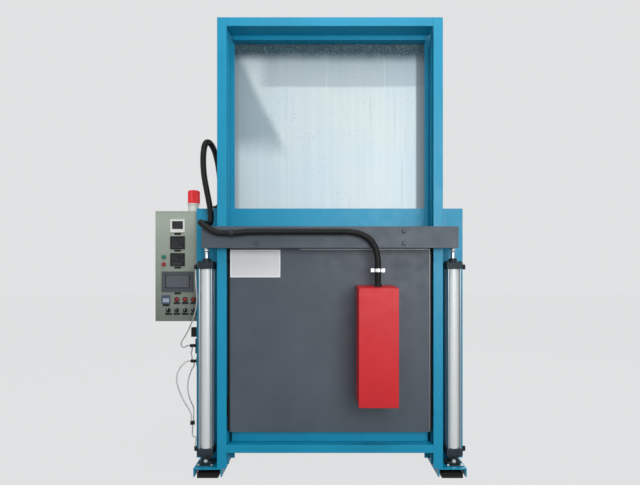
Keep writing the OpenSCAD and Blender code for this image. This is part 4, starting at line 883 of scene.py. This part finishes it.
# Upper back sheet: turned-in edges held by blind rivets
sheetRivets = [disc("sheetRivet", (x, 179.4, z), 4, 1.4, "y", 14, 0.6)
               for z in range(1790, 2800, 140) for x in (-618, 618)]
finishPiece(join(sheetRivets, "sheetRivets"), "frame", "sheet")
backRivets = [disc("backRivet", (x, 182.8, z), 5, 1.6, "y", 14, 0.6)
              for z in range(1790, 2860, 150) for x in (-690, 690)]
finishPiece(join(backRivets, "backSheetRivets"), "frame", "bright_steel")
print("gantry is welded")


# Body: screws along the sheets' edges, and lap joints
casing = {"side": 820, "rear": 1588, "roof": 1725, "low": 160, "top": 1724, "lap": 1.6, "joint": 906,
          "jointHalf": 20, "roofHalf": 816, "corner": 40}
bodyScrew = {"radius": 6, "low": 190, "high": 1694, "front": 216, "back": 1560,
             "along": [220 + i * 232 for i in range(6)], "up": [400 + i * 324 for i in range(4)],
             "across": [-780 + i * 260 for i in range(7)]}
spots = []
for side in (-1, 1):
    for y in bodyScrew["along"]:
        # the control box hides the left sheet's upper front corner
        rows = [bodyScrew["low"]] if side < 0 and y < 460 else [bodyScrew["low"], bodyScrew["high"]]
        spots += [((side * casing["side"], y, z), "x", side) for z in rows]
    for z in bodyScrew["up"]:
        if side > 0 or not 600 < z < 1730:
            spots.append(((side * casing["side"], bodyScrew["front"] - 2, z), "x", side))
        spots.append(((side * casing["side"], bodyScrew["back"], z), "x", side))
for x in bodyScrew["across"]:
    spots += [((x, casing["rear"], z), "y", 1) for z in (bodyScrew["low"], bodyScrew["high"])]
    spots.append(((x, bodyScrew["back"], casing["roof"]), "z", 1))
    if x > -700:
        spots.append(((x, bodyScrew["front"], casing["roof"]), "z", 1))
screws = [panScrew("casingScrew", place, axis, side, bodyScrew["radius"]) for place, axis, side in spots]
finishPiece(join(screws, "casingScrews"), "frame", "bright_steel")

low, top, lap, rear = casing["low"], casing["top"], casing["lap"], casing["rear"]
jointLow, jointHigh = casing["joint"] - casing["jointHalf"], casing["joint"] + casing["jointHalf"]
laps = []
for side in (-1, 1):
    inner, outer = sorted((side * casing["side"], side * (casing["side"] + lap)))
    laps.append(block("sideLap", (inner, jointLow, low), (outer, jointHigh, top), 0.5))
    inner, outer = sorted((side * (casing["side"] - casing["corner"]), side * casing["side"]))
    laps.append(block("rearEdge", (inner, rear, low), (outer, rear + lap, top), 0.5))
laps.append(block("rearLap", (-casing["jointHalf"], rear, low), (casing["jointHalf"], rear + lap, top), 0.5))
laps.append(block("roofLap", (-casing["roofHalf"], jointLow, casing["roof"]),
                  (casing["roofHalf"], jointHigh, casing["roof"] + lap), 0.5))
finishPiece(join(laps, "casingLaps"), "frame", "blue_paint")
print("body is closed")


# Heater wires: coiled resistance wire lying in each groove
coil = {"radius": 4.6, "wire": 1.0, "pitch": 12.5, "sides": 4, "perTurn": 8}


def heaterCoil(name, start, end):
    a, b = at(*start), at(*end)
    along = (b - a).normalized()
    first = axes["z"]
    second = along.cross(first)
    count = int((b - a).length / (coil["pitch"] / 1000) * coil["perTurn"])
    points = []
    for i in range(count + 1):
        angle = 2 * math.pi * i / coil["perTurn"]
        spoke = first * math.cos(angle) + second * math.sin(angle)
        points.append(a.lerp(b, i / count) + spoke * coil["radius"] / 1000)
    return sweep(name, points, [coil["wire"] / 1000] * len(points), coil["sides"], (0.1, 0.2, 1))


grooves = {"low": 422, "height": 978, "count": 9, "sideX": 544.5, "front": 266, "back": 1257, "doorX": 459,
           "doorY": 157}
sideCoils, doorCoils = [], []
for i in range(grooves["count"]):
    z = grooves["low"] + (i + 0.5) * grooves["height"] / grooves["count"]
    for side in (-1, 1):
        x = side * grooves["sideX"]
        sideCoils.append(heaterCoil("sideCoil", (x, grooves["front"], z), (x, grooves["back"], z)))
    doorCoils.append(heaterCoil("doorCoil", (-grooves["doorX"], grooves["doorY"], z),
                                (grooves["doorX"], grooves["doorY"], z)))
heatedWire = scaledSteel("oxidisedHeaterWire")
finishPiece(join(sideCoils, "sideHeaterWires"), "frame", "ring", heatedWire)
finishPiece(join(doorCoils, "doorHeaterWires"), "door", "ring", heatedWire)
print("heaters are wired")


# Control box: a folded rain lip, panel screws, and the faces of its instruments
box = {"left": -1176, "low": 969, "high": 1713, "face": 220, "lip": 8, "lipDepth": 1.4, "lipRight": 286}
instruments = {"x": 150, "recorder": 644, "upper": 530, "lower": 416, "screen": 267, "meterX": 72,
               "lamps": 147, "switches": 74, "column": 88, "pitch": 56.5, "buttonX": 59, "start": 434,
               "stop": 384}


def onPanel(x, row, depth=0.0):
    # millimetres from the panel's lower left corner, and out from its face
    return (box["left"] + x, box["face"] - depth, box["low"] + row)


def onFace(name, x, row, area, depths, edge, segments=2):
    # a block on the panel: area is left, low, right and top from its middle, depths are its front and back
    left, low, right, top = area
    return block(name, onPanel(x + left, row + low, depths[0]), onPanel(x + right, row + top, depths[1]),
                 edge, segments)


panelTop, lip, lipFace = box["high"] - box["low"], box["lip"], (box["lipDepth"], 0)
lipParts = [
    onFace("boxLipTop", 0, 0, (0, panelTop - lip, box["lipRight"], panelTop), lipFace, 0.4),
    onFace("boxLipLow", 0, 0, (0, 0, box["lipRight"], lip), lipFace, 0.4),
    onFace("boxLipLeft", 0, 0, (0, lip, lip, panelTop - lip), lipFace, 0.4),
]
finishPiece(join(lipParts, "panelRim"), "frame", "box_paint")
panelScrews = [panScrew("panelScrew", onPanel(x, row, box["lipDepth"]), "y", -1, 4.5)
               for x, row in ((12, 12), (12, 732), (12, 372), (178, 732))]
finishPiece(join(panelScrews, "panelScrews"), "frame", "box_paint")

# Recorder: dark window in a white bezel, with a strip of keys under it
x, row = instruments["x"], instruments["recorder"]
glass = onFace("recorderWindow", x, row, (-37, -22, 37, 32), (5.4, 5.0), 0.15)
finishPiece(glass, "frame", "screen_plastic", displays["recorder"])
recorderTrim = [onFace("recorderChin", x, row, (-37, -32, 37, -23), (7.6, 5), 0.6)]
for i in range(4):
    recorderTrim.append(onFace("recorderKey", x + i * 12, row, (-8, -30.5, 1, -25), (8.4, 7.4), 0.5))
finishPiece(join(recorderTrim, "recorderKeys"), "frame", "light_plastic")

# Controllers: a smoked window and four keys each
for tag in ("upper", "lower"):
    row = instruments[tag]
    pane = onFace(tag + "ControllerWindow", x, row, (-40, -20, 40, 35), (5.6, 5.0), 0.15)
    finishPiece(pane, "frame", "screen_plastic", displays["dark"])
    keys = [onFace(tag + "Key", x + i * 18, row, (-34, -33, -22, -26), (6.6, 5.0), 0.8) for i in range(4)]
    finishPiece(join(keys, tag + "ControllerKeys"), "frame", "black_plastic", finishes["screen_plastic"])

# Operator screen: a sunk display with a narrow dark gasket
row = instruments["screen"]
pane = onFace("operatorDisplay", x, row, (-76, -39, 76, 43), (5.6, 5.0), 0.2)
finishPiece(pane, "frame", "screen_plastic", displays["operator"])
gasket = [onFace("gasket", x, row, area, (6.2, 5.0), 0.3)
          for area in ((-82, 43, 82, 47), (-82, -45, 82, -39), (-82, -39, -76, 43), (76, -39, 82, 43))]
finishPiece(join(gasket, "displayGasket"), "frame", "black_plastic")

# Meter: pale window under a hood, a drawn scale and a needle
x, row = instruments["meterX"], instruments["lamps"]
dial = onFace("meterDial", x, row, (-21, -18, 21, 8), (5.6, 5.0), 0.2)
finishPiece(dial, "frame", "meter_plastic", displays["meter"])
hood = onFace("meterHood", x, row, (-22, 8, 22, 21), (7.6, 5.0), 0.6)
finishPiece(hood, "frame", "meter_plastic")
pivot = at(*onPanel(x, row - 14))


def swing(mark, degrees):
    turn = Matrix.Rotation(math.radians(degrees), 4, "Y")
    mark.data.transform(Matrix.Translation(pivot) @ turn @ Matrix.Translation(-pivot))
    return mark


marks = [swing(onFace("tick", x, row, (-0.4, 1, 0.4, 4), (5.9, 5.5), 0.05, 1), i * 15 - 60) for i in range(9)]
marks.append(swing(onFace("needle", x, row, (-0.5, -14, 0.5, 2), (6.2, 5.8), 0.05, 1), -38))
finishPiece(join(marks, "meterScale"), "frame", "black_plastic")

# Pilot lamps have a dark ring round each, switches a pointer line on each grip, and buttons a crown and a
# bright ring
columns = [instruments["column"] + i * instruments["pitch"] for i in range(4)]
lampRings = [ringOf("lampRing", onPanel(x, instruments["lamps"], 3.2), "y", 14.5, 3.0) for x in columns[1:]]
finishPiece(join(lampRings, "lampRings"), "frame", "black_plastic")
dress(frame["nodes"]["panel_lamps"], redLens("acrylicPilotLens", "#861418", "#5e0d11", 0.0))
for i, x in enumerate(columns, 1):
    pointer = onFace("pointer%d" % i, x, instruments["switches"], (-1.1, 2, 1.1, 11), (22.2, 21.2), 0.2)
    finishPiece(pointer, "switch_%d" % i, "light_plastic")
for tag, slot in (("start", "green_cap"), ("stop", "red_cap")):
    x, row = instruments["buttonX"], instruments[tag]
    crown = disc(tag + "Crown", onPanel(x, row, 15.6), 11, 1.6, "y", 40, 0.7, 3)
    finishPiece(crown, tag + "_button", slot)
    guard = ringOf(tag + "Ring", onPanel(x, row, 1.8), "y", 13.9, 1.0)
    finishPiece(guard, "frame", "bright_steel")
print("control panel is fitted")


# Beacon: white foot with screws, fluted red lens with a stepped crown and a rim
beacon = {"x": -943, "y": 320, "lensLow": 1776, "skin": 83, "radius": 41, "flutes": 40, "fluteShare": 0.035,
          "steps": ((0.004, 0.006), (0.008, 0.004), (0.014, 0.002)), "rim": 1779, "skirt": 1772,
          "pillar": 1740.5, "flange": 1715.5, "screws": (-22, 14), "screwY": 38, "screwZ": 1717.5}


def onBeacon(z, dx=0, dy=0):
    return (beacon["x"] + dx, beacon["y"] + dy, z)


deselect()
bpy.ops.mesh.primitive_cylinder_add(vertices=beacon["flutes"] * 2, radius=beacon["radius"] / 1000,
                                    depth=beacon["skin"] / 1000, end_fill_type="NGON",
                                    location=at(*onBeacon(beacon["lensLow"] + beacon["skin"] / 2)))
lens = bpy.context.object
lens.name = "beaconLens"
applyAll(lens)
centre = at(*onBeacon(0))
for vert in lens.data.vertices:
    out = Vector((vert.co.x - centre.x, vert.co.y - centre.y, 0))
    index = round(math.atan2(out.y, out.x) / (math.pi / beacon["flutes"]))
    if index % 2:
        vert.co -= out * beacon["fluteShare"]
pickFaces(lens, lambda face: face.normal.z > 0.9)
for inset, rise in beacon["steps"]:
    bpy.ops.mesh.inset(thickness=inset)
    bpy.ops.transform.translate(value=(0, 0, rise))
bpy.ops.object.mode_set(mode="OBJECT")
bpy.ops.object.shade_smooth_by_angle(angle=math.radians(25))
lensRim = disc("lensRim", onBeacon(beacon["rim"]), 43, 6, "z", 64, 1.2)
lens = join([lens, lensRim], "beaconLens")
finishPiece(lens, "frame", "red_lens")
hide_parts("beacon_lens")
foot = join([
    disc("beaconSkirt", onBeacon(beacon["skirt"]), 44, 8, "z", 64, 1.6),
    disc("beaconPillar", onBeacon(beacon["pillar"]), 38, 55, "z", 64, 1.0),
    disc("beaconFlange", onBeacon(beacon["flange"]), 42, 5, "z", 64, 1.4),
], "beaconFoot")
finishPiece(foot, "frame", "light_plastic")
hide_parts("beacon_base")
footScrews = [disc("footScrew", onBeacon(beacon["screwZ"], dx, -beacon["screwY"]), 5, 9, "z", 16, 0.8)
              for dx in beacon["screws"]]
finishPiece(join(footScrews, "beaconScrews"), "frame", "black_plastic")
print("beacon stands")


# Valves: coils with cooling fins, screws, and the collets and elbows of the tubes
valves = {"rows": ((890, 125, 64), (796, 95, 100), (690, 90, 58)), "face": 255, "fins": 5, "margin": 8,
          "finMargin": 12, "finEnd": -858, "screwX": -846, "screwInset": 10, "tall": 90}
valveParts, valveScrews, collets = [], [], []
for row, reach, height in valves["rows"]:
    left, low, high = -casing["side"] - reach, row - height / 2, row + height / 2
    valveParts.append(block("coil", (left + 6, valves["face"] - 3, low + valves["margin"]),
                            (left + 40, valves["face"] + 0.4, high - valves["margin"]), 1.2))
    for i in range(valves["fins"]):
        z = low + valves["finMargin"] + i * (height - 2 * valves["finMargin"]) / (valves["fins"] - 1)
        valveParts.append(block("fin", (left + 46, valves["face"] - 3.2, z - 1),
                                (valves["finEnd"], valves["face"], z + 1), 0.4))
    screwY = 249.5 if height > valves["tall"] else 254.5
    for z in (high - valves["screwInset"], low + valves["screwInset"]):
        valveScrews.append(hexBolt("valveScrew", (valves["screwX"], screwY, z), "y", -1, 6, False))
finishPiece(join(valveParts, "valveCoils"), "frame", "black_plastic")
finishPiece(join(valveScrews, "valveScrews"), "frame", "bright_steel")
for name, place, axis in (("headCollet", (-869, 85, 1316), "z"), ("endCollet", (-869, 85, 175), "z"),
                          ("valveCollet", (-958, 275, 796), "x"), ("lowCollet", (-953, 275, 690), "x"),
                          ("unionTopLeft", (-931, 214, 299), "z"), ("unionTopRight", (-917, 214, 299), "z"),
                          ("unionLow", (-924, 214, 271), "z")):
    collets.append(ringOf(name, place, axis, 5.6, 1.3, 24, 8))
finishPiece(join(collets, "tubeCollets"), "frame", "light_plastic")
elbow = {"hexX": 851, "rimX": 869, "levels": ((1341, -22), (150, 22))}
elbowRims = []
for side in (-1, 1):
    for z, drop in elbow["levels"]:
        hexAt = (side * elbow["hexX"], cylinder["axisY"], z)
        rimAt = (side * elbow["rimX"], cylinder["axisY"], z + drop)
        elbowRims.append(disc("elbowHex", hexAt, 11, 7, "x", 6, 0.8, 1))
        elbowRims.append(ringOf("elbowRim", rimAt, "z", 8, 1.4))
finishPiece(join(elbowRims, "elbowCollars"), "frame", "black_plastic")
print("air valves are fitted")


# Room: a plain pale floor and backdrop that the camera sees as even light grey
room = {"floor": "#6f7071", "sky": "#e1e2e3", "light": "#ffffff", "ambient": 0.30, "floorGlow": 0.88,
        "glow": "#ebeced"}


def seenDirectly(tree):
    # 1 for the camera's own rays and for what they see mirrored or through glass
    sight = addNode(tree, "LightPath", {})
    seen = addNode(tree, "Math", {
        "operation": "MAXIMUM", 0: sight["Is Camera Ray"], 1: sight["Is Glossy Ray"]})[0]
    return addNode(tree, "Math", {"operation": "MAXIMUM", 0: seen, 1: sight["Is Transmission Ray"]})[0]


deselect()
bpy.ops.mesh.primitive_grid_add(x_subdivisions=8, y_subdivisions=8, size=60, location=(0, 0, 0))
floor = bpy.context.object
floor.name = "studioFloor"
floorPaint, tree, shader, _ = newMaterial("paleStudioFloor", room["floor"], {"Roughness": 0.95})
glow = addNode(tree, "Emission", {"Color": room["glow"], "Strength": 1.0})[0]
share = addNode(tree, "Math", {"operation": "MULTIPLY", 0: seenDirectly(tree), 1: room["floorGlow"]})[0]
both = addNode(tree, "MixShader", {0: share, 1: shader.outputs[0], 2: glow})[0]
tree.links.new(both, tree.nodes["Material Output"].inputs["Surface"])
dress(floor, floorPaint)

world = bpy.data.worlds.new("paleRoom")
bpy.context.scene.world = world
world.use_nodes = True
tree = world.node_tree
tree.nodes.clear()
shown = addNode(tree, "Background", {"Color": room["sky"], "Strength": 1.0})[0]
lit = addNode(tree, "Background", {"Color": room["light"], "Strength": room["ambient"]})[0]
both = addNode(tree, "MixShader", {0: seenDirectly(tree), 1: lit, 2: shown})[0]
addNode(tree, "OutputWorld", {"Surface": both})
print("room is lit")

deselect()
